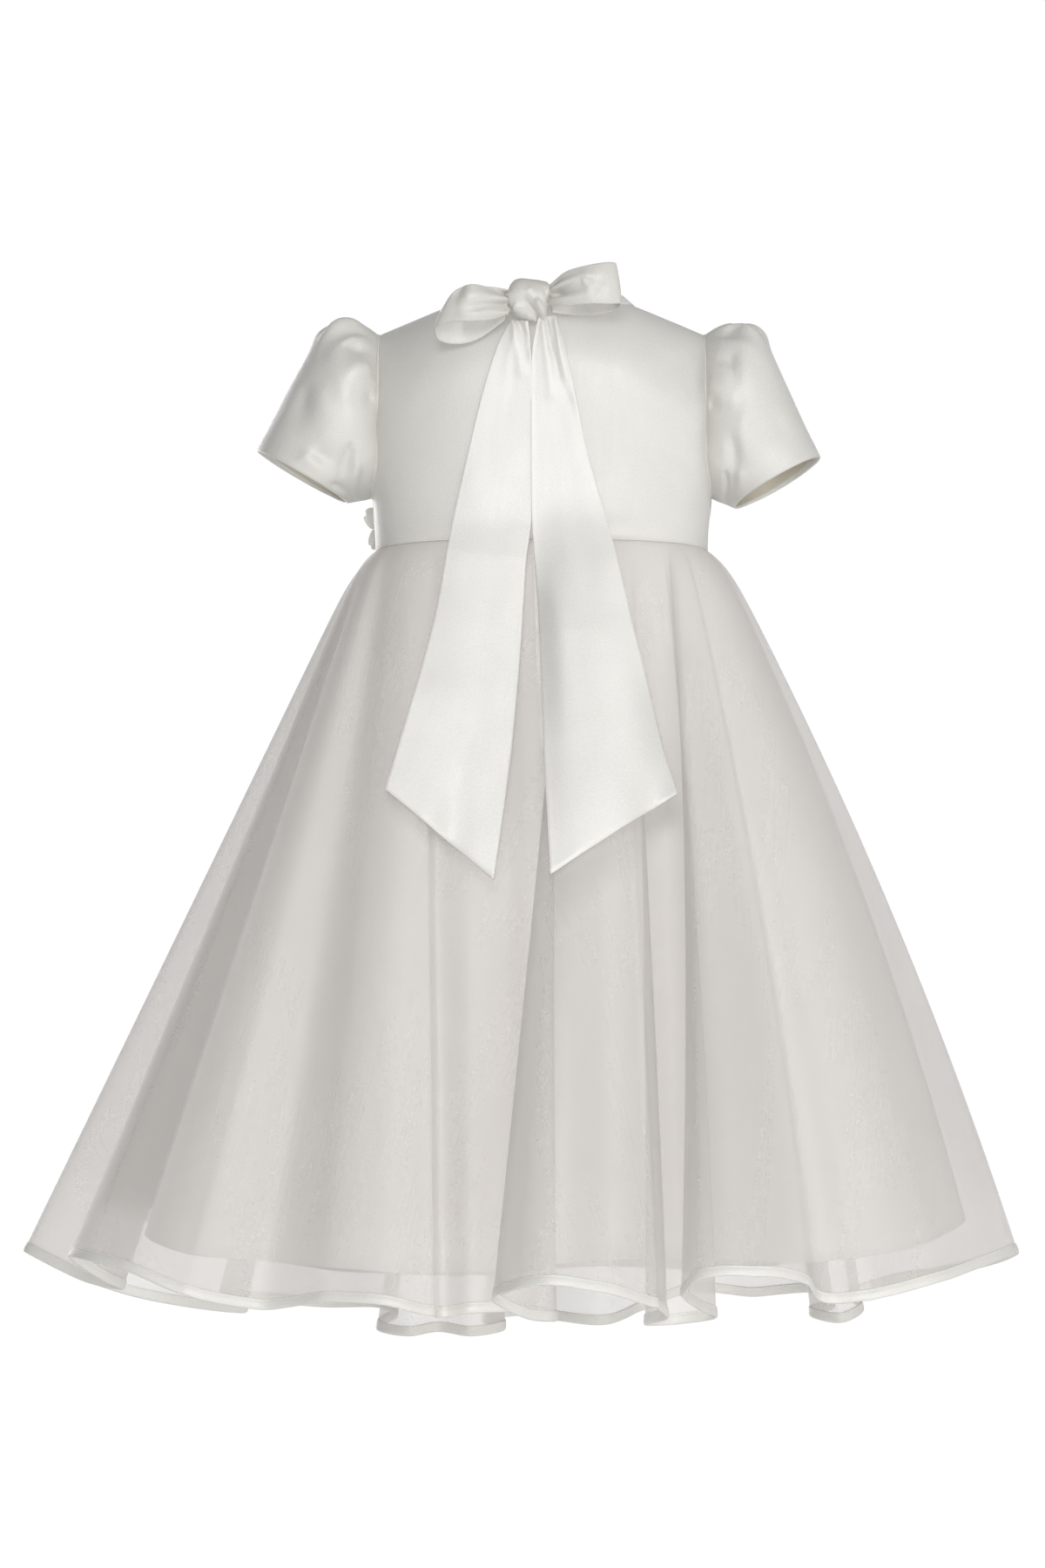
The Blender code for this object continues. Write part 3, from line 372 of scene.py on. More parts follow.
# Creases, listed one by one: start, end, half width and height (a trough is negative).
# On the bodice, the bow and the tails they are given in x and z, in millimetres,
# and on the sleeves in degrees round from the top and percent down from the armhole.
CREASES = {
    "bodice_back_left": (
        (-92, -24, -70, -52, 11, -0.9), (-96, -70, -74, -100, 12, 0.8),
        (-88, -132, -30, -139, 5, -0.5), (-60, -20, -35, -60, 16, 0.7)),
    "bodice_back_right": (
        (94, -30, 70, -44, 10, -0.9), (97, -60, 84, -108, 9, 0.9), (90, -50, 90, -100, 5, -0.6),
        (40, -134, 88, -138, 5, -0.5), (40, -25, 62, -70, 17, 0.7)),
    "bodice_front": (
        (-92, -40, -64, -62, 11, -0.9), (92, -38, 66, -60, 11, -0.9),
        (-40, -136, 20, -138, 5, -0.5), (96, -72, 70, -100, 12, 0.8), (-30, -60, 10, -95, 18, 0.7),
        (34, -138, 90, -134, 5, -0.5)),
    "sleeve_left": (
        (0, 8, 40, 9, 9, -1.5), (0, 8, -40, 9, 9, -1.5), (0, 26, 34, 27, 9, 1.1),
        (0, 26, -34, 27, 9, 1.1), (20, 5, 38, 26, 8.1, 2.17), (48, 5, 36, 26, 6.3, -4.21),
        (64, 6, 62, 26, 6.3, 2.46), (82, 3, 78, 17, 5.4, -2.75), (44, 60, 66, 74, 10.8, -2.9),
        (60, 46, 84, 60, 9.9, 1.3), (92, 74, 116, 62, 9.9, -2.61), (108, 44, 132, 74, 9, -2.75),
        (84, 86, 116, 84, 8.1, 1.74), (126, 40, 150, 66, 9.9, 1.74), (132, 88, 172, 66, 8.1, -1.59),
        (-44, 8, -56, 34, 8.1, -2.9), (-70, 30, -100, 70, 10.8, -2.17),
        (-110, 60, -150, 80, 10.8, 2.17), (-4, 44, -20, 66, 12.6, -1.3)),
    "sleeve_right": (
        (0, 7, 40, 9, 9, -1.7), (0, 7, -40, 9, 9, -1.7), (0, 24, 34, 27, 9, 1.2),
        (0, 24, -34, 27, 9, 1.2), (26, 5, 50, 12, 6.3, -3.48), (34, 10, 28, 36, 9, 1.74),
        (56, 10, 70, 27, 7.2, -3.33), (74, 4, 74, 22, 5.4, 1.89), (86, 5, 82, 20, 4.5, -2.17),
        (104, 42, 132, 62, 10.8, -2.9), (84, 44, 108, 72, 11.7, 1.59),
        (122, 66, 148, 88, 9.9, 1.89), (136, 42, 168, 60, 8.1, -2.17),
        (58, 72, 92, 84, 10.8, -1.59), (-40, 8, -52, 30, 8.1, -2.9),
        (-78, 26, -96, 60, 10.8, -2.03), (-120, 56, -150, 84, 9.9, 2.17),
        (-14, 44, 8, 70, 12.6, -1.3)),
    "bow_knot": (
        (-1.5, -11.5, -10, -1.5, 2.0, -4.6), (-15, -5, -6, -11, 2.6, 2.2),
        (-3, -2, 1.5, -9.5, 2.0, 2.4), (-8, -9, -3, -12, 1.5, 1.0), (-7, 5.5, -6.5, 4, 2.6, 0.8),
        (-20, 5, -17, 9, 1.8, -0.6), (2, 6, 4, -1, 1.4, -0.9)),
    "bow_loop_left": (
        (-22, -3, -36, -5.5, 1.3, -2.6), (-24, 0, -44, 1, 3.6, 2.6), (-22, -8, -38, -11, 2.6, 2.4),
        (-20, 3, -33, 5.5, 2.2, -2.4), (-48, 4, -56, -10, 4.2, -3.4), (-21, -6, -28, -9, 1.3, -1.6),
        (-38, -7, -50, -9, 3.0, -1.8)),
    "bow_loop_right": (
        (9, 3, 24, 6.5, 3.0, -4.2), (7, 6, 25, 12.5, 1.9, 2.2), (8, 0, 27, 0.5, 2.2, 1.8),
        (25, 9, 27, 5, 1.6, 1.6), (28, 12, 40, 14, 4.5, 0.9), (34, 2, 42, 12, 4.0, -1.2)),
    "bow_tail_left": (
        (-14.3, -11.8, -6.5, -27, 2.1, -2.8), (-17, -13, -12.5, -42, 2.4, 2.3),
        (-10, -13, -6.8, -34, 1.6, 1.8), (-22, -24, -30, -90, 6, -1.1),
        (-40, -110, -22, -150, 13, 0.9), (-60, -235, -30, -262, 14, 0.8)),
    "bow_tail_right": (
        (2.6, -11, 5.2, -28, 1.1, -2.2), (5.0, -26, 15, -58, 2.0, -1.5),
        (15, -56, 27, -92, 3.6, -1.0), (8.0, -12, 14, -46, 2.0, 3.2),
        (0.5, -14, 6.0, -56, 2.4, 2.2), (9.2, -11, 13, -30, 1.0, -1.4), (20, -60, 30, -120, 5, 0.8),
        (10, -190, 44, -220, 14, 0.8)),
}
CREASE_FADE = 0.55          # share of its height that a crease loses on its way
# Unevenness of every cloth: wavelength, direction in degrees, height and phase
UNEVEN_WAVES = (
    (61, 20, 0.10, 0.4), (43, 105, 0.08, 2.1), (29, 62, 0.045, 4.0), (19, 150, 0.025, 1.2))

CAMERA_PLACE = (-0.0115, -3.97809, -0.69911)
CAMERA_TILT = 96.0          # it looks up a little, from below the waist
CAMERA_LENS = 153.26
FLOOR_RADIUS = 14.0
FLOOR_COLOUR = (0.94, 0.94, 0.935)
FLOOR_GLOW = 0.18           # keeps the floor as pale as the backdrop where no lamp reaches
# Lamps: place, what each one is aimed at, and its width
LAMPS = {
    "key": ((-0.15, -3.4, 0.65), (0, 0, -0.2), 1.1),
    "side": ((2.9, -0.9, 0.1), (0, 0, -0.25), 1.5),
    "far_side": ((-1.2, 3.1, 0.3), (0, 0, -0.3), 2.0),
    "front_fill": ((1.3, -3.2, 0.75), (0, 0, -0.3), 1.6),
}


# Small tools for cloth

def unit(vectors):
    length = np.linalg.norm(vectors, axis=-1, keepdims=True)
    return vectors / np.maximum(length, 1e-9)


def smooth_step(t):
    t = np.clip(t, 0.0, 1.0)
    return t * t * (3 - 2 * t)


def spline(points, steps, ring=False, axes=None):
    """Smooth curve through points, steps for each span, with knots from the first axes."""
    points = np.asarray(points, float)
    count = len(points)
    spans = count if ring else count - 1
    out = []
    for i in range(spans):
        if ring:
            p = [points[(i + k) % count] for k in (-1, 0, 1, 2)]
        else:
            before = points[i - 1] if i else 2 * points[0] - points[1]
            after = points[i + 2] if i + 2 < count else 2 * points[-1] - points[-2]
            p = [before, points[i], points[i + 1], after]
        t = [0.0]
        for k in range(3):
            t.append(t[-1] + max(np.linalg.norm((p[k + 1] - p[k])[:axes]), 1e-3) ** 0.5)
        for step in range(steps):
            s = t[1] + (t[2] - t[1]) * step / steps
            a = [((t[k + 1] - s) * p[k] + (s - t[k]) * p[k + 1]) / (t[k + 1] - t[k])
                 for k in range(3)]
            b = [((t[k + 2] - s) * a[k] + (s - t[k]) * a[k + 1]) / (t[k + 2] - t[k])
                 for k in range(2)]
            out.append(((t[2] - s) * b[0] + (s - t[1]) * b[1]) / (t[2] - t[1]))
    if not ring:
        out.append(points[-1])
    return np.array(out)


def refine(grid, row_steps, column_steps):
    """A coarse grid of points made finer both ways on smooth curves."""
    rows, columns = grid.shape[:2]
    fine = spline(grid.reshape(rows, -1), row_steps).reshape(-1, columns, 3)
    turned = fine.transpose(1, 0, 2)
    turned = spline(turned.reshape(columns, -1), column_steps).reshape(-1, fine.shape[0], 3)
    return turned.transpose(1, 0, 2)


def outward(grid, ring=False, centre=None):
    """Unit normals of a grid, away from a point or from the dress's upright axis."""
    if ring:
        along = np.roll(grid, -1, axis=1) - np.roll(grid, 1, axis=1)
    else:
        along = np.gradient(grid, axis=1)
    normals = unit(np.cross(along, np.gradient(grid, axis=0)))
    middle = grid * np.array((0, 0, 1)) if centre is None else np.asarray(centre)
    if np.sum(normals * (grid - middle)) < 0:
        normals = -normals
    return normals


def folds(across, down, table):
    """Height of soft folds at the points (across, down) of a piece: each is sharp at
    its start, and wide and shallow at its end."""
    height = np.zeros(np.shape(across))
    for x0, z0, x1, z1, width, size in table:
        run = np.array((x1 - x0, z1 - z0), float)
        t = ((across - x0) * run[0] + (down - z0) * run[1]) / (run @ run)
        t = np.clip(t, 0, 1)
        off = np.hypot(across - x0 - t * run[0], down - z0 - t * run[1])
        spread = width * (0.8 + 0.7 * t)
        height = height + size * (1 - CREASE_FADE * smooth_step(t)) * np.exp(-(off / spread) ** 2)
    return height


def uneven(across, down):
    """Height of the slight unevenness that no pressed cloth is without."""
    height = np.zeros(np.shape(across))
    for length, direction, size, phase in UNEVEN_WAVES:
        way = across * cos(radians(direction)) + down * sin(radians(direction))
        height = height + size * np.sin(2 * pi * way / length + phase)
    return height


def lengths(grid, axis):
    """Mean length along the cloth from its first row or column."""
    steps = np.linalg.norm(np.diff(grid, axis=axis), axis=-1)
    total = np.cumsum(steps, axis=axis).mean(axis=1 - axis)
    return np.concatenate([[0.0], total])


def seam_dip(grid, edges, depth=0.45, reach=1.6):
    """Depth to which cloth is drawn in beside the seams at the named edges."""
    dip = np.zeros(grid.shape[:2])
    for axis, names in ((0, ("first_row", "last_row")), (1, ("first_column", "last_column"))):
        way = lengths(grid, axis)
        shape = (-1, 1) if axis == 0 else (1, -1)
        for name, distance in zip(names, (way, way[-1] - way)):
            if name in edges:
                dip = dip + np.exp(-distance / reach).reshape(shape)
    return depth * np.minimum(dip, 1.0)


def flat_map(grid, ring=False):
    """The piece's flat pattern as a map in metres, from lengths along the cloth."""
    if ring:
        grid = np.concatenate([grid, grid[:, :1]], axis=1)
    u, v = np.meshgrid(lengths(grid, 1), lengths(grid, 0))
    return np.stack([u, v], axis=-1) * MM


def sector_map(grid):
    """Flat pattern of a flared panel, which is cut as a sector of a ring."""
    waist = lengths(grid[:2], 1)
    hem = lengths(grid[-2:], 1)
    long = lengths(grid, 0)
    turn = max((hem[-1] - waist[-1]) / long[-1], 0.01)
    radius = hem[-1] / turn - long[-1] + long
    angle = hem / hem[-1] * turn - turn / 2
    r, a = np.meshgrid(radius, angle, indexing="ij")
    return np.stack([r * np.sin(a), -r * np.cos(a)], axis=-1) * MM


def mesh_object(name, vertices, faces, corners, material):
    """A smooth closed body with its faces outwards and its flat pattern as its map."""
    mesh = bpy.data.meshes.new(name)
    mesh.from_pydata((np.asarray(vertices) * MM).tolist(), [], faces)
    pattern = mesh.uv_layers.new(name="Pattern")
    pattern.data.foreach_set("uv", np.asarray(corners, np.float32).ravel())
    body = bmesh.new()
    body.from_mesh(mesh)
    bmesh.ops.recalc_face_normals(body, faces=body.faces)
    body.to_mesh(mesh)
    body.free()
    mesh.shade_smooth()
    mesh.materials.append(material)
    piece = bpy.data.objects.new(name, mesh)
    bpy.context.scene.collection.objects.link(piece)
    return piece


def cloth(name, outer, thickness, material, ring=False, centre=None, pattern=None):
    """Thin closed shell of cloth under a grid of points, with a rounded rim."""
    rows, columns = outer.shape[:2]
    spans = columns if ring else columns - 1
    thick = np.broadcast_to(thickness, (rows, columns))[..., None]
    inner = outer - outward(outer, ring, centre) * thick
    pattern = flat_map(outer, ring) if pattern is None else pattern
    r, c = np.meshgrid(np.arange(rows - 1), np.arange(spans), indexing="ij")
    walls = np.array([(r, c), (r, c + 1), (r + 1, c + 1), (r + 1, c)])
    walls = walls.transpose(2, 3, 0, 1).reshape(-1, 4, 2)
    around = [[(0, k) for k in range(spans)], [(rows - 1, k) for k in range(spans)]]
    if not ring:
        last_r, last_c = rows - 1, columns - 1
        around = [[(0, k) for k in range(last_c)] + [(k, last_c) for k in range(last_r)]
                  + [(last_r, k) for k in range(last_c, 0, -1)]
                  + [(k, 0) for k in range(last_r, 0, -1)]]
    count = rows * columns
    vertices = [outer.reshape(-1, 3), inner.reshape(-1, 3)]
    out_index = walls[..., 0] * columns + walls[..., 1] % columns
    faces = [out_index, out_index[:, ::-1] + count]
    map_points = pattern[walls[..., 0], walls[..., 1]]
    corners = [map_points, map_points[:, ::-1]]
    base = 2 * count
    for loop in around:
        loop = np.array(loop)
        here = loop[:, 0] * columns + loop[:, 1]
        inside = (np.clip(loop[:, 0], 1, rows - 2),
                  loop[:, 1] if ring else np.clip(loop[:, 1], 1, columns - 2))
        edge = outer[loop[:, 0], loop[:, 1]]
        away = unit(edge - outer[inside])
        middle = (edge + inner[loop[:, 0], loop[:, 1]]) / 2
        vertices.append(middle + away * thick[loop[:, 0], loop[:, 1]] * RIM_BULGE)
        rim = base + np.arange(len(loop))
        near, far = np.roll(here, -1), np.roll(rim, -1)
        faces.append(np.stack([here, near, far, rim], axis=1))
        faces.append(np.stack([rim, far, near + count, here + count], axis=1))
        spot = pattern[loop[:, 0], loop[:, 1]]
        nearby = np.roll(spot, -1, axis=0)
        if ring:
            nearby[-1] = pattern[loop[-1, 0], loop[-1, 1] + 1]
        quad = np.stack([spot, nearby, nearby, spot], axis=1)
        corners += [quad, quad]
        base += len(loop)
    return mesh_object(name, np.concatenate(vertices), np.concatenate(faces).tolist(),
                       np.concatenate(corners), material)


def tube(name, sections, material, pattern):
    """Closed tube through a row of like cross-sections, with flat ends."""
    count, sides = sections.shape[:2]
    k = np.arange(sides)
    start = np.arange(count - 1)[:, None] * sides
    quads = np.stack([start + k, start + (k + 1) % sides, start + sides + (k + 1) % sides,
                      start + sides + k], axis=-1).reshape(-1, 4)
    i, j = np.meshgrid(np.arange(count - 1), k, indexing="ij")
    corners = np.stack([pattern[i, j], pattern[i, j + 1], pattern[i + 1, j + 1],
                        pattern[i + 1, j]], axis=-2)
    faces = quads.tolist() + [k.tolist(), (k[::-1] + (count - 1) * sides).tolist()]
    ends = np.concatenate([pattern[0, :sides], pattern[-1, sides - 1::-1]])
    corners = np.concatenate([corners.reshape(-1, 2), ends])
    return mesh_object(name, sections.reshape(-1, 3), faces, corners, material)


def cut_size(grid, ring=False, sector=False):
    """Width and length of the cloth that a piece is cut from, and the piece's own area."""
    if ring:
        grid = np.concatenate([grid, grid[:, :1]], axis=1)
    across, down = np.diff(grid, axis=1), np.diff(grid, axis=0)
    area = np.linalg.norm(np.cross(across[:-1], down[:, :-1]), axis=-1).sum() * MM * MM
    if sector:
        size = np.ptp(sector_map(grid), axis=(0, 1))
    else:
        size = np.array((np.linalg.norm(across, axis=-1).sum(axis=1).max(),
                         np.linalg.norm(down, axis=-1).sum(axis=0).max())) * MM
    return [round(float(number), 6) for number in (*size, area)]


def place(piece, slot, *nodes):
    """Ties a piece to the dress and hides the solids that it stands for."""
    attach(piece, "root")
    if nodes:
        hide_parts(*nodes)
    return piece


def hold(piece, cut, held, *rests_on, with_pieces=()):
    """Takes the size that a sheet of cloth was cut from, and keeps none of it."""
    width, length, area = cut
    area = min(area, width * length)
    list(with_pieces)


# Body form

def half_width(z):
    return WAIST_HALF + (CHEST_HALF - WAIST_HALF) * smooth_step((z - WAIST_Z) / CHEST_RISE)


def shoulder_z(x):
    """Height of the ridge between front and back."""
    x = np.abs(x)
    drop = (NECK_POINT_Z - SHOULDER_TIP_Z) / (SHOULDER_HALF - NECK_HALF)
    inside = NECK_POINT_Z + NECK_PEAK * (1 - (x / NECK_HALF) ** 2)
    return np.where(x < NECK_HALF, inside, NECK_POINT_Z - drop * (x - NECK_HALF))


def neckline_z(x, side):
    share = (x / NECK_HALF) ** 2
    return NECK_POINT_Z * share if side < 0 else NECK_POINT_Z - FRONT_SCOOP * (1 - share)


def form_depth(x, z, side):
    """Half depth of the form at x and z, without its rounding across."""
    rounding = np.where(np.asarray(side) < 0, ROUNDING[-1], ROUNDING[1])
    depth = np.where(np.asarray(side) < 0, HALF_DEPTH[-1], HALF_DEPTH[1])
    s = np.clip((shoulder_z(x) - z) / rounding, 0, 1)
    return depth * np.sqrt(1 - (1 - s) ** 2)


def form_across(x, z):
    share = np.minimum(1.0, np.abs(x) / half_width(z))
    return (1 - share ** SQUARENESS) ** (1 / SQUARENESS)


def form_point(x, z, side):
    y = np.maximum(HALF_SEAM, form_depth(x, z, side) * form_across(x, z))
    return np.stack(np.broadcast_arrays(x, side * y, z), axis=-1)


def form_normal(x, z, side):
    """Outward unit normal of the form at single points, from its slopes."""
    small = 0.05
    along = form_point(x + small, z, side) - form_point(x - small, z, side)
    up = form_point(x, z + small, side) - form_point(x, z - small, side)
    return -side * unit(np.cross(along, up))


def armhole_share(z):
    """1 up the straight part of the armhole, down to 0 at its foot."""
    fall = np.maximum(0, (UNDERARM_Z + ARMHOLE_ROUND - z) / ARMHOLE_ROUND)
    return np.sqrt(np.maximum(0.0, 1 - fall ** 2))


def armhole_x(z):
    """Half width of the bodice at its side seam and armhole."""
    across = form_across(SHOULDER_HALF, z) * armhole_share(z)
    at_armhole = half_width(z) * (1 - across ** SQUARENESS) ** (1 / SQUARENESS)
    return np.where(z <= UNDERARM_Z, half_width(z), at_armhole)


# Bodice

def bodice_grid(side, columns=30, side_columns=38, rows=74):
    """Points of one half, centre line to side, waist to shoulder."""
    round_side = np.sin(np.linspace(0, pi / 2, side_columns))
    u = np.concatenate([np.linspace(0, NECK_SHARE, columns)[:-1],
                        NECK_SHARE + (1 - NECK_SHARE) * round_side])
    v = 1 - (1 - np.linspace(0, 1, rows)) ** 1.6
    edge = armhole_x(WAIST_Z + (SHOULDER_TIP_Z - WAIST_Z) * v)
    x = edge[:, None] * u
    if side < 0:
        x = np.maximum(x, HALF_SEAM)
    top = np.where(x < NECK_HALF, neckline_z(x, side), shoulder_z(x))
    foot = WAIST_Z - SEAM - WAIST_LAP
    return form_point(x, foot + (top - foot) * v[:, None], side)


def mirrored(grid):
    return grid[:, ::-1] * np.array((-1, 1, 1))


def sew_panel(name, grid, edges):
    """One bodice panel with its creases and with its edges drawn into the seams."""
    x, z = grid[..., 0], grid[..., 2]
    height = folds(x, z, CREASES[name]) + uneven(x, z) - seam_dip(grid, edges)
    return grid + outward(grid) * height[..., None]


def make_bodice(sizes, satin):
    back, front = bodice_grid(-1), bodice_grid(1)
    front = np.concatenate([mirrored(front), front[:, 1:]], axis=1)
    panels = {
        "bodice_back_right": (back, ("first_column",)),
        "bodice_back_left": (mirrored(back), ("last_column",)),
        "bodice_front": (front, ()),
    }
    for name, (grid, edges) in panels.items():
        panel = sew_panel(name, grid, edges)
        piece = cloth(name + "_satin", panel, sizes.satin_thickness / MM, satin)
        hold(place(piece, "satin", name), cut_size(panel), "hung", "neck_band")


# Neck band

def neckline(steps=26):
    """Points and outward normals round the bodice's top edge, from centre back."""
    half = np.linspace(0, NECK_HALF, steps)
    right = []
    for x, side in [(x, -1) for x in half] + [(x, 1) for x in half[-2::-1]]:
        x = max(x, HALF_SEAM) if side < 0 else x
        inset = min(x, NECK_HALF - 0.5)
        z = float(neckline_z(inset, side))
        normal = form_normal(inset, z - 0.4, side)
        right.append((form_point(x, float(neckline_z(x, side)), side), normal))
    flip = np.array((-1, 1, 1))
    left = [(point * flip, normal * flip) for point, normal in right[-2::-1]]
    points, normals = zip(*(right + left))
    return np.array(points), np.array(normals)


def make_neck_band(trim):
    """A band of pressed folds that stands up a little from the bodice."""
    points, normals = neckline()
    for _ in range(BAND_SMOOTHING):
        normals[1:-1] = unit(normals[:-2] + 2 * normals[1:-1] + normals[2:])
    along = unit(np.gradient(points, axis=0))
    up = unit(np.cross(normals, along) + BAND_LEAN * np.array((0, 0, 1)))
    facing = unit(np.cross(along, up))
    rows = []
    for share in np.linspace(0, 1, BAND_STEPS * BAND_FOLDS + 1):
        ridge = BAND_RIDGE * abs(sin(pi * BAND_FOLDS * share)) ** 0.6
        turn = min(1.0, share * BAND_FOLDS)
        across = unit(normals * (1 - turn) + facing * turn)
        rows.append(points + up * (SEAM + BAND_HEIGHT * share) + across * ridge)
    grid = np.array(rows)
    grid[:, 0, 0] = HALF_SEAM
    grid[:, -1, 0] = -HALF_SEAM
    piece = cloth("neck_band_satin", grid, BAND_THICKNESS, trim)
    place(piece, "satin_trim", "neck_band")
    hold(piece, cut_size(grid), "folded", "bodice_back_right_satin", "bodice_back_left_satin",
         "bodice_front_satin")


# Sleeves

def armhole_points(angle, side):
    middle = (SHOULDER_TIP_Z + UNDERARM_Z) / 2
    z = middle + (SHOULDER_TIP_Z - UNDERARM_Z) / 2 * np.cos(angle)
    facing = np.where(np.sin(angle) > 0, -1, 1)
    y = form_depth(SHOULDER_HALF, z, facing) * form_across(SHOULDER_HALF, z) * armhole_share(z)
    return np.stack([side * (armhole_x(z) + SLEEVE_CLEAR), facing * y, z], axis=-1)


def head_rise(s, angle):
    """Share of the puff reached at s of the way from armhole to hem: at once over the
    gathered head, and slowly lower down, where the seam lies flat."""
    head = smooth_step((np.cos(angle) + 0.15) / 0.8)
    share = PUFF_SEAM_SHARE * head
    start = PUFF_START * (2.2 - 1.2 * head)
    return share * (1 - np.exp(-s / PUFF_SEAM)) + (1 - share) * (1 - np.exp(-s / start))


def sleeve_grid(name, side, top, foot, lift, gathers):
    """Puffed sleeve, a ring of points for each step from armhole to hem."""
    top = np.array((side * top[0], 0, top[1]))
    foot = np.array((side * foot[0], 0, foot[1]))
    middle, reach = (top + foot) / 2, (top - foot) / 2
    angle = np.linspace(0, 2 * pi, SLEEVE_COLUMNS, endpoint=False)
    turned = (angle + pi) % (2 * pi) - pi
    s = (np.linspace(0, 1, SLEEVE_ROWS) ** SLEEVE_CROWDING)[:, None]
    base = armhole_points(angle, side)
    crown = unit(top - base[0])
    rise = np.array((-crown[2] * side, 0, crown[0] * side))
    back = np.array((0, -1, 0))
    cosine, sine = np.cos(angle)[:, None], np.sin(angle)[:, None]
    hem = middle + reach * cosine + back * SLEEVE_HALF_DEPTH * sine
    hem = hem + np.array((0, 0, 1)) * lift * (1 - sine) / 2
    away = unit(rise * np.maximum(0.0, cosine) + back * sine)
    puff = PUFF * ((1 + np.cos(angle)) / 2) ** HEAD_TAPER * (1 - s) * head_rise(s, angle)
    turn = turned / radians(GATHER_SPAN)
    window = np.where(np.abs(turn) < 0.5, np.sqrt(np.maximum(0.0, np.cos(pi * turn))), 0.0)
    places = np.linspace(0.5, -0.5, len(gathers))
    size = np.interp(-turn, -places, gathers)
    gather = GATHER_DEPTH * size * window * np.cos(2 * pi * GATHER_COUNT * turn)
    fall = GATHER_AT * (0.6 + 0.6 * size)
    gather = gather * np.exp(-((s - GATHER_AT) / fall) ** 2) * np.minimum(1.0, s / GATHER_START)
    grid = base * (1 - s[..., None]) + hem * s[..., None] + away * (puff + gather)[..., None]
    degrees = np.degrees(turned)[None, :] + np.zeros_like(s)
    height = folds(degrees, 100 * s, CREASES[name]) * np.minimum(1, s / 0.04)
    height += uneven(1.1 * degrees, 80 * s)
    return grid + outward(grid, True, grid.mean((0, 1))) * height[..., None]


def make_sleeves(sizes, satin, facing):
    """Each sleeve, and the facing that shows inside its hem: a beige lining tone, made darker as
    painted shade inside the sleeve.
    """
    for name, shape in SLEEVES.items():
        grid = sleeve_grid(name, **shape)
        middle = grid.mean((0, 1))
        share = np.linspace(0, 1, SLEEVE_ROWS)[:, None] ** SLEEVE_CROWDING
        turning = smooth_step((share - SLEEVE_TURNING) / 0.02)
        thickness = sizes.satin_thickness / MM * (1 + TURNING_EXTRA * turning)
        piece = cloth(name + "_satin", grid, thickness, satin, True, middle)
        hold(place(piece, "satin", name), cut_size(grid, ring=True), "gathered",
             "bodice_front_satin")
        inside = outward(grid, True, middle) * (thickness + FACING_GAP)[..., None]
        inner = (grid - inside)[int(FACING_START * SLEEVE_ROWS):-1]
        lining = cloth(name + "_facing", inner, FACING_THICKNESS, facing, True,
                       inner.mean((0, 1)))
        hold(place(lining, "lining"), cut_size(inner, ring=True), "gathered", piece.name)


# Skirts

def waist_points(angles, inset, back_inset):
    """Points on the waist seam at angles in degrees, drawn in from its outline."""
    c, s = np.cos(np.radians(angles)), np.sin(np.radians(angles))
    power = 2 / SQUARENESS
    back = np.maximum(0.0, -s) ** 4
    x = (WAIST_HALF - inset) * np.abs(c) ** power * np.where(c < 0, -1, 1)
    depth = np.where(s < 0, HALF_DEPTH[-1], HALF_DEPTH[1]) - inset - (back_inset - inset) * back
    y = depth * np.abs(s) ** power * np.where(s < 0, -1, 1)
    return np.stack([x, y, np.full_like(x, WAIST_Z - SEAM)], axis=-1)


def hem_curve(table, steps):
    """Smooth closed hem: its points x, y and drop, and the waist angle of each."""
    rows = [row[1:] for row in table]
    closed = spline([row[:3] for row in rows], steps, ring=True, axes=2)
    turns = [row[3] for row in rows] + [rows[0][3] + 360]
    angles = np.interp(np.arange(len(closed)) / steps, np.arange(len(turns)), turns)
    return closed, angles


def hanging_grid(table, steps, shares, inset=0.0, back_inset=0.0, waves=()):
    """Cloth hanging from the waist seam to its hem, a row for each share of the way."""
    hem, angles = hem_curve(table, steps)
    top = waist_points(angles, inset, back_inset)
    foot = np.stack([hem[:, 0], hem[:, 1], WAIST_Z - hem[:, 2]], axis=-1)
    v = np.asarray(shares, float)[:, None]
    opening = v + SPRING * (1 - v) * (1 - np.exp(-v / SPRING_LENGTH))
    grid = top + (foot - top) * np.stack([opening, opening, v], axis=-1)
    belly = np.maximum(0.0, np.cos(np.radians(angles))) ** 2
    grid[..., 0] += BELLY * 4 * v * (1 - v) * belly
    if waves:
        grid += outward(grid, ring=True) * wave_height(table, steps, hem, v, waves)[..., None]
    return grid


def wave_height(table, steps, hem, v, waves):
    """Height of the soft waves that start part of the way down and grow to the hem."""
    names = [row[0] for row in table]
    loop = np.concatenate([hem, hem[:1]])[:, :2]
    way = np.concatenate([[0], np.cumsum(np.linalg.norm(np.diff(loop, axis=0), axis=-1))])
    total, way = way[-1], way[:-1]
    height = np.zeros((len(v), len(way)))
    for name, width, size, start in waves:
        off = np.abs(way - way[names.index(name) * steps])
        off = np.minimum(off, total - off)
        height += size * np.exp(-(off / width) ** 2) * smooth_step((v - start) / (1 - start))
    return height


def cut_panel(grid, start, stop, half_gaps):
    """Columns start to stop of a closed grid, its ends drawn in from the seams."""
    stop = stop if stop > start else stop + grid.shape[1]
    panel = np.take(grid, range(start, stop + 1), axis=1, mode="wrap").copy()
    panel[:, 0] += unit(panel[:, 1] - panel[:, 0]) * np.array(half_gaps[0])[:, None]
    panel[:, -1] += unit(panel[:, -2] - panel[:, -1]) * np.array(half_gaps[1])[:, None]
    return panel


def row_index(table, name):
    return [row[0] for row in table].index(name)


def slit_gap(v):
    """Half the opening at the centre back, for a share of the skirt's length."""
    return HALF_SEAM + SLIT_HALF * max(0.0, 1 - v * SKIRT_LENGTH / SLIT_LENGTH)


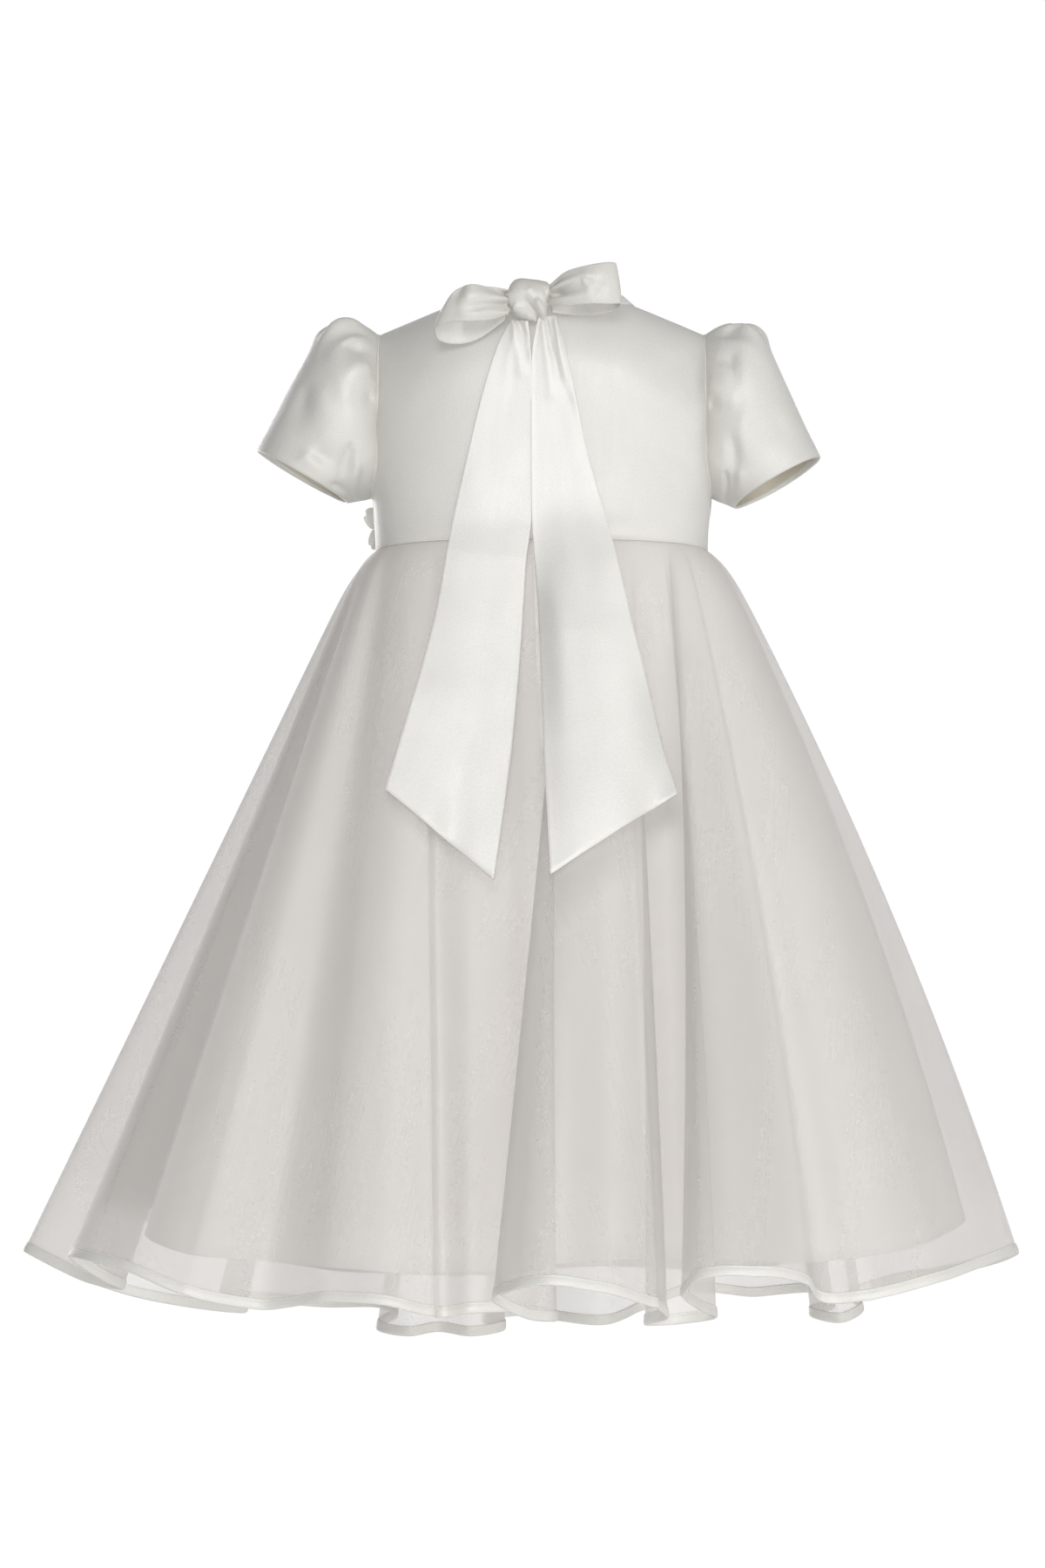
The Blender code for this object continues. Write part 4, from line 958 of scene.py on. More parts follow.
def skirt_panels(grid, shares):
    """The overskirt's three panels, cut from a closed grid of points."""
    side = [HALF_SEAM] * len(shares)
    slit = [slit_gap(v) for v in shares]
    for part, (first, last, slit_end) in PANELS.items():
        gaps = (slit if slit_end == "first" else side, slit if slit_end == "last" else side)
        start, stop = row_index(HEM, first) * SKIRT_STEPS, row_index(HEM, last) * SKIRT_STEPS
        yield part, cut_panel(grid, start, stop, gaps)


def make_overskirt(sizes, organza):
    """The sheer panels, each with its edge inside its binding."""
    shares = np.linspace(0, 1, SKIRT_ROWS) ** SKIRT_CROWDING * (1 - ORGANZA_SHORT / SKIRT_LENGTH)
    grid = hanging_grid(HEM, SKIRT_STEPS, shares, WAIST_TUCK, WAIST_TUCK, SKIRT_WAVES)
    for part, panel in skirt_panels(grid, shares):
        piece = cloth("skirt_" + part + "_organza", panel, sizes.organza_thickness / MM, organza,
                      pattern=sector_map(panel))
        piece.visible_shadow = False
        trims = [bpy.data.objects[name % part]
                 for name in ("hem_binding_%s_satin", "hem_stitches_%s")]
        hold(place(piece, "organza", "skirt_" + part), cut_size(panel, sector=True), "hung",
             "bodice_front_satin", with_pieces=trims)


def hem_lines():
    """The overskirt's hem under a line a binding's height above it, and their shares."""
    ends = [1 - BINDING_HEIGHT / SKIRT_LENGTH, 1]
    return hanging_grid(HEM, SKIRT_STEPS, ends, waves=SKIRT_WAVES), ends


def make_binding(trim):
    """Satin strip folded over the overskirt's edge."""
    grid, shares = hem_lines()
    for part, panel in skirt_panels(grid, shares):
        normals = outward(panel)[1]
        up = unit(panel[0] - panel[1])
        section = np.array(BINDING_SECTION)
        rings = panel[1][:, None] + up[:, None] * section[:, :1] + normals[:, None] * section[:, 1:]
        closed = np.concatenate([section, section[:1]])
        sides = np.linalg.norm(np.diff(closed, axis=0), axis=-1)
        around = np.concatenate([[0], np.cumsum(sides)])
        u, v = np.meshgrid(lengths(panel[1:], 1), around, indexing="ij")
        pattern = np.stack([u, v], axis=-1) * MM
        piece = tube("hem_binding_" + part + "_satin", rings, trim, pattern)
        place(piece, "satin_trim", "hem_binding_" + part)


def lining_grid(shares):
    return hanging_grid(LINING_HEM, LINING_STEPS, shares, LINING_INSET, LINING_BACK_INSET,
                        LINING_WAVES)


def make_lining(sizes, lining):
    """Back and front of the lining, twice as thick at the turned hem."""
    shares = np.linspace(0, 1, LINING_ROWS) ** LINING_CROWDING
    outer = lining_grid(shares)
    left = row_index(LINING_HEM, "left_side") * LINING_STEPS
    right = row_index(LINING_HEM, "right_side") * LINING_STEPS
    gaps = ([HALF_SEAM] * len(shares),) * 2
    turned = smooth_step((shares - (1 - LINING_TURNING / SKIRT_LENGTH)) * SKIRT_LENGTH)
    thickness = sizes.lining_thickness / MM * (1 + turned[:, None])
    for part, start, stop in (("back", left, right), ("front", right, left)):
        panel = cut_panel(outer, start, stop, gaps)
        piece = cloth("lining_" + part + "_satin", panel, thickness, lining,
                      pattern=sector_map(panel))
        hold(place(piece, "lining", "lining_" + part), cut_size(panel, sector=True), "hung",
             "bodice_front_satin")


def make_placket(trim):
    """Satin strip under the centre back slit, made from the overskirt's own points."""
    centre = row_index(HEM, "back_valley_2") * SKIRT_STEPS
    v = np.linspace(0, 1, 60)
    drops = (SLIT_LENGTH * v + PLACKET_START) / SKIRT_LENGTH
    column = hanging_grid(HEM, SKIRT_STEPS, drops, WAIST_TUCK, WAIST_TUCK)[:, centre]
    u, v = np.linspace(-1, 1, 15), v[:, None]
    across = PLACKET_WIDTH / 2 * (1 - PLACKET_TAPER * v) * u
    pucker = (0.1 + 0.5 * v) * (np.sin(v * 23) * u + np.sin(v * 41 + 1)) + 0.5 * v
    inward = PLACKET_INSET + PLACKET_CURVE * u ** 2 + pucker
    grid = column[:, None] + np.stack([across, inward, np.zeros_like(across)], axis=-1)
    piece = cloth("back_placket_satin", grid, PLACKET_THICKNESS, trim)
    hold(place(piece, "satin_trim", "back_placket"), cut_size(grid), "hung",
         "skirt_back_left_organza")


# Bow

def make_knot(satin):
    """The ribbon's wrap, drawn in round the loops and closed at both ends."""
    outline = spline(KNOT_OUTLINE, 10)
    caps = np.linspace(0.04, 1, 8)[:-1]
    u = np.concatenate([-np.ones(7), np.sin(np.linspace(-pi / 2, pi / 2, 71)), np.ones(7)])
    cap = np.concatenate([caps, np.ones(71), caps[::-1]])
    top, foot = (np.interp(u, outline[:, 0], outline[:, k]) for k in (1, 2))
    deep = 0.55 + 0.45 * np.sqrt(np.maximum(0, 1 - u * u))
    angle = np.linspace(0, 2 * pi, 96, endpoint=False)
    middle, reach = (top + foot) / 2, (top - foot) / 2 * cap
    spokes = np.stack([(u * (1 + 0.04 * (1 - cap)))[:, None] + 0 * angle,
                       (deep * cap)[:, None] * np.cos(angle),
                       middle[:, None] + reach[:, None] * np.sin(angle)], axis=-1)
    rings = KNOT + KNOT_HALF * spokes
    near = smooth_step((KNOT[1] + 4 - rings[..., 1]) / 4)
    height = folds(rings[..., 0], rings[..., 2], CREASES["bow_knot"]) * near
    rings = rings + unit(rings - KNOT) * height[..., None]
    around, along = np.linspace(0, 0.08, 97), np.linspace(0, 0.03, len(rings))
    pattern = np.stack(np.meshgrid(along, around, indexing="ij"), axis=-1)
    piece = tube("bow_knot_satin", rings, satin, pattern)
    place(piece, "satin", "bow_knot")


def make_loop(name, table, sizes, satin):
    """Ribbon that goes out from the knot, turns over and comes back behind."""
    path = spline(table, LOOP_STEPS, axes=2)
    w = np.linspace(0, 1, LOOP_COLUMNS)
    x, y, top, foot, shift = (path[:, k][:, None] for k in range(5))
    grid = np.stack([x + shift * w, y + 0 * w, top + (foot - top) * w], axis=-1)
    t = np.linspace(0, 1, len(path))[:, None]
    near = smooth_step((LOOP_TURN - t) / 0.12)
    full = np.sin(pi * np.clip(t / LOOP_TURN, 0, 1)) * (1 - (2 * w - 1) ** 2)
    pinch = LOOP_PINCH * np.cos(2 * pi * (2.3 * w + 0.15)) * np.exp(-t / 0.07)
    pinch = pinch + LOOP_FAR_PINCH * np.cos(2 * pi * 1.6 * w) * np.exp(-(1 - t) / 0.06)
    creased = folds(grid[..., 0], grid[..., 2], CREASES[name]) * near
    height = LOOP_FULLNESS * full + pinch + creased + 0.6 * uneven(grid[..., 0], grid[..., 2])
    facing = outward(grid, centre=grid.mean((0, 1)))
    grid = grid + facing * height[..., None]
    thickness = sizes.satin_thickness / MM * LOOP_THICKNESS
    piece = cloth(name + "_satin", grid, thickness, satin, centre=grid.mean((0, 1)))
    hold(place(piece, "satin", name), cut_size(grid), "folded", "bow_knot_satin")


def solid_tree(name):
    """A solid of the frame in millimetres, to find what lies on it."""
    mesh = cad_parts[name].data
    points = [vertex.co / MM for vertex in mesh.vertices]
    return BVHTree.FromPolygons(points, [tuple(face.vertices) for face in mesh.polygons])


def ribbon_depth(x, z, tail, under):
    """y of the ribbon at x and z: that of its solid, or clear of the cloth below."""
    ahead, away = Vector((x, -400, z)), Vector((0, 1, 0))
    hits = [tree.ray_cast(ahead, away)[0] for tree in under]
    below = min([hit.y for hit in hits if hit], default=TAIL_TOP_Y) - TAIL_CLEAR
    hit = tail.ray_cast(ahead, away)[0]
    nearest = hit or tail.find_nearest(Vector((x, below, z)))[0]
    return min(nearest.y, below)


def make_tail(name, table, sizes, satin):
    """Ribbon with a slanted end that lies over the bodice and the skirt's folds."""
    tail = solid_tree(name)
    under = [solid_tree(part + side)
             for part in ("bodice_back_", "skirt_back_") for side in ("left", "right")]
    u = np.linspace(0, 1, 6)
    inside = TAIL_INSIDE * (1 - 2 * u)
    coarse = []
    for left_x, left_z, right_x, right_z in spline(table, BOW_STEPS, axes=2):
        xs, zs = left_x + (right_x - left_x) * u, left_z + (right_z - left_z) * u
        coarse.append([(x, ribbon_depth(x + shift, z, tail, under), z)
                       for x, z, shift in zip(xs, zs, inside)])
    grid = refine(np.array(coarse), 11, 9)
    for _ in range(TAIL_SMOOTHING):
        grid[1:-1, :, 1] = (grid[:-2, :, 1] + 2 * grid[1:-1, :, 1] + grid[2:, :, 1]) / 4
    x, z = grid[..., 0], grid[..., 2]
    height = folds(x, z, CREASES[name]) + uneven(x, z)
    edges = {"bow_tail_left": ("last_row",), "bow_tail_right": ("last_column", "last_row")}[name]
    height -= seam_dip(grid, edges, 0.35, 1.2)
    if name == "bow_tail_right":
        height += TAIL_LAP * seam_dip(grid, ("first_column",), 1.0, 2.5)
    grid = grid + np.array((0, -1, 0)) * height[..., None]
    piece = place(cloth(name + "_satin", grid, sizes.satin_thickness / MM, satin), "satin", name)
    hold(piece, cut_size(grid), "hung", "bow_knot_satin")


# Flower

def petal_half_width(radius):
    if radius <= PETAL_SHOULDER:
        return radius * np.tan(PETAL_HALF_ANGLE)
    share = (radius - PETAL_SHOULDER) / (PETAL_TIP - PETAL_SHOULDER + PETAL_ROUNDING)
    return PETAL_SHOULDER * np.tan(PETAL_HALF_ANGLE) * sqrt(1 - share ** 2)


def make_flower(satin, trim):
    """Five cupped petals with a crease at the root, round a covered button."""
    centre = form_point(FLOWER_X, FLOWER_Z, 1)
    facing = form_normal(FLOWER_X, FLOWER_Z, 1)
    sideways = unit(np.cross((0, 0, 1), facing))
    upward = np.cross(facing, sideways)
    for index in range(PETALS):
        turn = radians(PETAL_FIRST + 360 * index / PETALS)
        along = sideways * cos(turn) + upward * sin(turn)
        across = upward * cos(turn) - sideways * sin(turn)
        rows = []
        for radius in PETAL_ROWS:
            lift = PETAL_LIFT + PETAL_CUP * (radius / PETAL_TIP) ** 2
            rows.append([centre + along * radius + across * petal_half_width(radius) * u
                         + facing * (lift + PETAL_CURL * u * u * radius / PETAL_TIP)
                         for u in (-1, -.5, 0, .5, 1)])
        grid = refine(np.array(rows), 6, 7)
        t = np.linspace(0, 1, grid.shape[0])[:, None]
        u = np.linspace(-1, 1, grid.shape[1])
        ruffle = PETAL_RUFFLE * np.sin(2 * pi * (0.8 * u + 0.17 * index)) * t ** 2
        crease = PETAL_CREASE * np.exp(-(u / 0.16) ** 2) * (1 - t)
        grid = grid + facing * (ruffle - crease)[..., None]
        node = "flower_petal_%d" % (index + 1)
        piece = cloth(node + "_satin", grid, PETAL_THICKNESS, satin)
        hold(place(piece, "satin", node), cut_size(grid), "stretched", "bodice_front_satin")
    make_flower_eye(centre + facing * (SEAM + FLOWER_EYE), facing, sideways, upward, trim)


def make_flower_eye(middle, facing, sideways, upward, trim):
    """A satin-covered button with soft radial pleats."""
    polar = np.linspace(0.03, pi - 0.03, 30)
    angle = np.linspace(0, 2 * pi, 60, endpoint=False)
    height = -np.cos(polar)[:, None]
    ring = np.sin(polar)[:, None] * (1 + 0.03 * np.cos(EYE_PLEATS * angle))
    rings = middle + FLOWER_EYE * (facing * height[..., None]
                                   + sideways * (ring * np.cos(angle))[..., None]
                                   + upward * (ring * np.sin(angle))[..., None])
    along, around = np.linspace(0, 0.011, 30), np.linspace(0, 0.022, 61)
    pattern = np.stack(np.meshgrid(along, around, indexing="ij"), axis=-1)
    place(tube("flower_eye_satin", rings, trim, pattern), "satin_trim", "flower_eye")


# Stitches

def stitch_tree():
    """Node tree: a thread stitch at each step along a line, lying on the cloth."""
    tree = bpy.data.node_groups.new("Row of Stitches", "GeometryNodeTree")
    for name, kind in (("Seam Line", "NodeSocketGeometry"), ("Pitch", "NodeSocketFloat"),
                       ("Stitch Length", "NodeSocketFloat"), ("Thread Radius", "NodeSocketFloat"),
                       ("Thread", "NodeSocketMaterial")):
        tree.interface.new_socket(name, in_out="INPUT", socket_type=kind)
    tree.interface.new_socket("Stitches", in_out="OUTPUT", socket_type="NodeSocketGeometry")
    new, link = tree.nodes.new, tree.links.new
    given, result = new("NodeGroupInput"), new("NodeGroupOutput")
    line, steps = new("GeometryNodeMeshToCurve"), new("GeometryNodeResampleCurve")
    steps.mode = "LENGTH"
    bead, smooth = new("GeometryNodeMeshUVSphere"), new("GeometryNodeSetShadeSmooth")
    bead.inputs["Segments"].default_value = 6
    bead.inputs["Rings"].default_value = 4
    bead.inputs["Radius"].default_value = 1.0
    out, tangent = new("GeometryNodeInputNamedAttribute"), new("GeometryNodeInputTangent")
    out.data_type = "FLOAT_VECTOR"
    out.inputs["Name"].default_value = "out"
    upright = new("FunctionNodeAlignRotationToVector")
    along = new("FunctionNodeAlignRotationToVector")
    upright.axis, along.axis, along.pivot_axis = "Z", "X", "Z"
    half, size = new("ShaderNodeMath"), new("ShaderNodeCombineXYZ")
    half.operation = "MULTIPLY"
    half.inputs[1].default_value = 0.5
    spread, whole = new("GeometryNodeInstanceOnPoints"), new("GeometryNodeRealizeInstances")
    dress = new("GeometryNodeSetMaterial")
    link(given.outputs["Seam Line"], line.inputs["Mesh"])
    link(line.outputs["Curve"], steps.inputs["Curve"])
    link(given.outputs["Pitch"], steps.inputs["Length"])
    link(steps.outputs["Curve"], spread.inputs["Points"])
    link(bead.outputs["Mesh"], smooth.inputs["Geometry"])
    link(smooth.outputs["Geometry"], spread.inputs["Instance"])
    link(out.outputs["Attribute"], upright.inputs["Vector"])
    link(upright.outputs["Rotation"], along.inputs["Rotation"])
    link(tangent.outputs["Tangent"], along.inputs["Vector"])
    link(along.outputs["Rotation"], spread.inputs["Rotation"])
    link(given.outputs["Stitch Length"], half.inputs[0])
    link(half.outputs["Value"], size.inputs["X"])
    link(given.outputs["Thread Radius"], size.inputs["Y"])
    link(given.outputs["Thread Radius"], size.inputs["Z"])
    link(size.outputs["Vector"], spread.inputs["Scale"])
    link(spread.outputs["Instances"], whole.inputs["Geometry"])
    link(whole.outputs["Geometry"], dress.inputs["Geometry"])
    link(given.outputs["Thread"], dress.inputs["Material"])
    link(dress.outputs["Geometry"], result.inputs["Stitches"])
    return tree


def cord_tree():
    """Node tree: a round cord along a seam."""
    tree = bpy.data.node_groups.new("Seam Cord", "GeometryNodeTree")
    for name, kind in (("Seam Line", "NodeSocketGeometry"), ("Cord Radius", "NodeSocketFloat"),
                       ("Cord", "NodeSocketMaterial")):
        tree.interface.new_socket(name, in_out="INPUT", socket_type=kind)
    tree.interface.new_socket("Cord", in_out="OUTPUT", socket_type="NodeSocketGeometry")
    new, link = tree.nodes.new, tree.links.new
    given, result = new("NodeGroupInput"), new("NodeGroupOutput")
    line, round_it = new("GeometryNodeMeshToCurve"), new("GeometryNodeCurvePrimitiveCircle")
    round_it.inputs["Resolution"].default_value = 10
    sweep, smooth = new("GeometryNodeCurveToMesh"), new("GeometryNodeSetShadeSmooth")
    whole, dress = new("GeometryNodeRealizeInstances"), new("GeometryNodeSetMaterial")
    link(given.outputs["Seam Line"], line.inputs["Mesh"])
    link(given.outputs["Cord Radius"], round_it.inputs["Radius"])
    link(line.outputs["Curve"], sweep.inputs["Curve"])
    link(round_it.outputs["Curve"], sweep.inputs["Profile Curve"])
    link(sweep.outputs["Mesh"], smooth.inputs["Geometry"])
    link(smooth.outputs["Geometry"], whole.inputs["Geometry"])
    link(whole.outputs["Geometry"], dress.inputs["Geometry"])
    link(given.outputs["Cord"], dress.inputs["Material"])
    link(dress.outputs["Geometry"], result.inputs["Cord"])
    return tree


def grown(name, points, tree, values, normals=None, ring=False):
    """What a node tree makes along a line of points, as a plain mesh object."""
    mesh = bpy.data.meshes.new(name)
    count = len(points)
    edges = [(k, (k + 1) % count) for k in range(count if ring else count - 1)]
    mesh.from_pydata((points * MM).tolist(), edges, [])
    if normals is not None:
        out = mesh.attributes.new("out", "FLOAT_VECTOR", "POINT")
        out.data.foreach_set("vector", normals.astype(np.float32).ravel())
    guide = bpy.data.objects.new(name + "_guide", mesh)
    bpy.context.scene.collection.objects.link(guide)
    maker = guide.modifiers.new("Maker", "NODES")
    maker.node_group = tree
    for item in tree.interface.items_tree:
        if item.in_out == "INPUT" and item.name in values:
            maker[item.identifier] = values[item.name]
    evaluated = guide.evaluated_get(bpy.context.evaluated_depsgraph_get())
    made = bpy.data.meshes.new_from_object(evaluated)
    made.name = name
    guide.modifiers.remove(maker)
    bpy.data.objects.remove(guide, do_unlink=True)
    piece = bpy.data.objects.new(name, made)
    bpy.context.scene.collection.objects.link(piece)
    return piece


def make_armhole_cords(sizes, cord):
    """The rolled edge of each armhole seam."""
    tree = cord_tree()
    angle = np.linspace(0, 2 * pi, 220, endpoint=False)
    for name, shape in SLEEVES.items():
        points = armhole_points(angle, shape["side"])
        points[:, 0] -= shape["side"] * SLEEVE_CLEAR / 2
        values = {"Cord Radius": sizes.cord_radius, "Cord": cord}
        place(grown(name + "_seam", points, tree, values, ring=True), "satin")


def sew_line(name, points, normals, tree, sizes, thread, slot):
    """One row of stitches along points, as a plain mesh."""
    values = {"Pitch": sizes.stitch_pitch, "Stitch Length": sizes.stitch_length,
              "Thread Radius": sizes.thread_radius, "Thread": thread}
    return place(grown(name, points, tree, values, normals), slot)


def make_stitches(sizes, thread):
    """Stitching of the hem binding and of the lining's turned hem."""
    tree = stitch_tree()
    grid, shares = hem_lines()
    for part, panel in skirt_panels(grid, shares):
        normals = outward(panel)[1]
        up = unit(panel[0] - panel[1])
        line = panel[1] + up * BINDING_STITCH_HEIGHT + normals * BINDING_STITCH_OUT
        sew_line("hem_stitches_" + part, line, normals, tree, sizes, thread, "satin_trim")
    outer = lining_grid([0.98, 1 - LINING_STITCH_HEIGHT / SKIRT_LENGTH, 1])
    rings = outer[1], outward(outer, ring=True)[1]
    line, normals = (np.concatenate([ring, ring[:1]]) for ring in rings)
    sew_line("lining_stitches", line + 0.05 * normals, normals, tree, sizes, thread, "lining")


# Materials

def new_material(name, **values):
    """A node material whose constant values sit on the shader's own sockets."""
    material = bpy.data.materials.new(name)
    material.use_nodes = True
    shader = material.node_tree.nodes["Principled BSDF"]
    for socket, value in values.items():
        shader.inputs[socket.replace("_", " ").title().replace("Ior", "IOR")].default_value = value
    return material, material.node_tree, shader


def pattern_noise(tree, stretch, detail=3.0, source="UV"):
    """Noise on the cloth's flat pattern, stretched along its threads."""
    coordinates = tree.nodes.new("ShaderNodeTexCoord")
    mapping = tree.nodes.new("ShaderNodeMapping")
    mapping.inputs["Scale"].default_value = stretch
    noise = tree.nodes.new("ShaderNodeTexNoise")
    noise.inputs["Scale"].default_value = 1.0
    noise.inputs["Detail"].default_value = detail
    tree.links.new(coordinates.outputs[source], mapping.inputs["Vector"])
    tree.links.new(mapping.outputs["Vector"], noise.inputs["Vector"])
    return noise.outputs["Fac"]


def ranged(tree, value, low, high, start=0.3, stop=0.7):
    """A noise value brought into a range."""
    node = tree.nodes.new("ShaderNodeMapRange")
    for name, number in (("From Min", start), ("From Max", stop),
                         ("To Min", low), ("To Max", high)):
        node.inputs[name].default_value = number
    tree.links.new(value, node.inputs["Value"])
    return node.outputs["Result"]


def tinted(tree, value, dark, light):
    """Two close tones of a colour, mixed by a noise."""
    ramp = tree.nodes.new("ShaderNodeValToRGB")
    ramp.color_ramp.elements[0].position = 0.35
    ramp.color_ramp.elements[1].position = 0.65
    ramp.color_ramp.elements[0].color = (*dark, 1)
    ramp.color_ramp.elements[1].color = (*light, 1)
    tree.links.new(value, ramp.inputs["Fac"])
    return ramp.outputs["Color"]


def summed(tree, first, second, share):
    """first + share * second, for two heights."""
    node = tree.nodes.new("ShaderNodeMath")
    node.operation = "MULTIPLY_ADD"
    node.inputs[1].default_value = share
    tree.links.new(second, node.inputs[0])
    tree.links.new(first, node.inputs[2])
    return node.outputs["Value"]


def bumped(tree, shader, height, distance, strength):
    bump = tree.nodes.new("ShaderNodeBump")
    bump.inputs["Distance"].default_value = distance
    bump.inputs["Strength"].default_value = strength
    tree.links.new(height, bump.inputs["Height"])
    tree.links.new(bump.outputs["Normal"], shader.inputs["Normal"])


def darker(colour, share):
    return tuple(c * share for c in colour)


def satin_finish(name, colour, roughness, sheen):
    """Satin: smooth floats along the warp, a fine grain, faint slubs and a soft sheen."""
    material, tree, shader = new_material(name, specular_ior_level=0.6, sheen_weight=sheen,
                                          sheen_roughness=0.35, anisotropic=0.3)
    tangent = tree.nodes.new("ShaderNodeTangent")
    tangent.direction_type = "UV_MAP"
    tangent.uv_map = "Pattern"
    tree.links.new(tangent.outputs["Tangent"], shader.inputs["Tangent"])
    grain = pattern_noise(tree, (900, 900, 1), 4.0)
    floats = pattern_noise(tree, (2400, 260, 1), 2.0)
    slubs = pattern_noise(tree, (340, 26, 1), 2.0)
    cloudy = pattern_noise(tree, (24, 24, 1), 3.0)
    tone = ranged(tree, summed(tree, grain, cloudy, 0.6), 0, 1, 0.55, 1.05)
    tree.links.new(tinted(tree, tone, darker(colour, 0.955), colour), shader.inputs["Base Color"])
    gloss = ranged(tree, slubs, roughness - 0.05, roughness + 0.06)
    tree.links.new(gloss, shader.inputs["Roughness"])
    height = summed(tree, summed(tree, floats, grain, 0.8), slubs, 0.5)
    bumped(tree, shader, height, 0.00016, 0.7)
    return material


def organza_finish(name, colour, cover):
    """Organza: sheer plain weave, a little denser along its slubs."""
    material, tree, shader = new_material(name, specular_ior_level=0.3, sheen_weight=0.1,
                                          sheen_roughness=0.5)
    warp = pattern_noise(tree, (300, 5, 1), 2.0)
    weft = pattern_noise(tree, (14, 900, 1), 2.0)
    cloudy = pattern_noise(tree, (11, 4, 1), 2.0)
    threads = summed(tree, warp, weft, 0.35)
    alpha = ranged(tree, threads, cover * 0.994, cover * 1.006, 0.5, 0.85)
    tree.links.new(alpha, shader.inputs["Alpha"])
    tree.links.new(tinted(tree, cloudy, darker(colour, 0.96), colour), shader.inputs["Base Color"])
    tree.links.new(ranged(tree, warp, 0.44, 0.56), shader.inputs["Roughness"])
    bumped(tree, shader, threads, 0.00002, 0.05)
    return material


def thread_finish(name, colour):
    """Twisted sewing thread."""
    material, tree, shader = new_material(name, specular_ior_level=0.4, sheen_weight=0.2)
    twist = pattern_noise(tree, (3000, 3000, 3000), 1.0, "Object")
    tree.links.new(tinted(tree, twist, darker(colour, 0.9), colour), shader.inputs["Base Color"])
    tree.links.new(ranged(tree, twist, 0.45, 0.6), shader.inputs["Roughness"])
    bumped(tree, shader, twist, 0.00005, 0.5)
    return material


def floor_finish(name, colour):
    material, tree, shader = new_material(name, specular_ior_level=0.2, emission_color=(1, 1, 1, 1),
                                          emission_strength=FLOOR_GLOW)
    cloudy = pattern_noise(tree, (0.8, 0.8, 0.8), 2.0, "Object")
    tree.links.new(tinted(tree, cloudy, darker(colour, 0.99), colour), shader.inputs["Base Color"])
    tree.links.new(ranged(tree, cloudy, 0.75, 0.85), shader.inputs["Roughness"])
    return material


# Each satin: its colour in DressLooks, how much rougher it is than the bodice's, and its sheen
SATINS = {
    "satin": ("satin_colour", 0.0, 0.25),
    # The knot and loops are the tails' ribbon with painted shade: a darker copy of the ribbon's
    # colour
    "bow": ("bow_shaded_colour", -0.05, 0.2),
    "ribbon": ("ribbon_colour", 0.0, 0.25),
    "trim": ("trim_colour", 0.0, 0.2),
    # The placket is lighter than the trim satin: painted light on the strip in the shaded slit
    "placket": ("placket_lit_colour", 0.0, 0.2),
    # The facing has the lining's beige tone, darkened as painted shade inside the sleeves
    "facing": ("facing_colour", 0.1, 0.1),
    "lining": ("lining_colour", 0.05, 0.15),
}


def finish_for(kind):
    """The finish of one cloth, made when the first piece asks for it."""
    looks = bpy.context.scene.dress_looks
    name = "dress_" + kind
    if name in bpy.data.materials:
        return bpy.data.materials[name]
    if kind in SATINS:
        colour, rougher, sheen = SATINS[kind]
        return satin_finish(name, getattr(looks, colour), looks.satin_roughness + rougher, sheen)
    if kind == "organza":
        return organza_finish(name, looks.organza_colour, looks.organza_cover)
    return thread_finish(name, looks.satin_colour if kind == "cord" else looks.trim_colour)


# Stage

def add_light(name, power, shadow=True):
    """One of the lamps; without shadow it reaches into every fold."""
    spot, aim, size = LAMPS[name]
    light = bpy.data.lights.new(name, "AREA")
    light.shape = "DISK"
    light.size = size
    light.energy = power
    light.use_shadow = shadow
    lamp = bpy.data.objects.new(name, light)
    lamp.location = spot
    lamp.rotation_euler = (Vector(aim) - Vector(spot)).to_track_quat("-Z", "Y").to_euler()
    bpy.context.scene.collection.objects.link(lamp)


def set_world(backdrop, ambient, top_share, left_share):
    """White behind the dress, and a softer light from all round it, dimmer from above
    and from the left."""
    world = bpy.data.worlds.new("studio")
    bpy.context.scene.world = world
    world.use_nodes = True
    tree = world.node_tree
    seen = tree.nodes["Background"]
    seen.inputs["Color"].default_value = (1, 1, 1, 1)
    seen.inputs["Strength"].default_value = backdrop
    lit = tree.nodes.new("ShaderNodeBackground")
    lit.inputs["Color"].default_value = (1.0, 0.99, 0.975, 1)
    coordinates = tree.nodes.new("ShaderNodeTexCoord")
    apart = tree.nodes.new("ShaderNodeSeparateXYZ")
    tree.links.new(coordinates.outputs["Generated"], apart.inputs["Vector"])
    strength = tree.nodes.new("ShaderNodeMath")
    strength.operation = "MULTIPLY"
    from_above = ranged(tree, apart.outputs["Z"], ambient, ambient * top_share, 0.0, 0.9)
    from_left = ranged(tree, apart.outputs["X"], left_share, 1.0, -0.7, 0.3)
    tree.links.new(from_above, strength.inputs[0])
    tree.links.new(from_left, strength.inputs[1])
    tree.links.new(strength.outputs["Value"], lit.inputs["Strength"])
    path, mix = tree.nodes.new("ShaderNodeLightPath"), tree.nodes.new("ShaderNodeMixShader")
    tree.links.new(path.outputs["Is Camera Ray"], mix.inputs["Fac"])
    tree.links.new(lit.outputs["Background"], mix.inputs[1])
    tree.links.new(seen.outputs["Background"], mix.inputs[2])
    tree.links.new(mix.outputs["Shader"], tree.nodes["World Output"].inputs["Surface"])


def make_floor(drop):
    """A wide round floor under the hanging dress."""
    low = SOLIDS_BOX[0].z - drop
    mesh = bpy.data.meshes.new("floor")
    body = bmesh.new()
    bmesh.ops.create_circle(body, cap_ends=True, segments=128, radius=FLOOR_RADIUS)
    bmesh.ops.translate(body, vec=(0, 0, low), verts=body.verts)
    body.to_mesh(mesh)
    body.free()
    mesh.materials.append(floor_finish("studio_floor", FLOOR_COLOUR))
    floor = bpy.data.objects.new("floor", mesh)
    bpy.context.scene.collection.objects.link(floor)


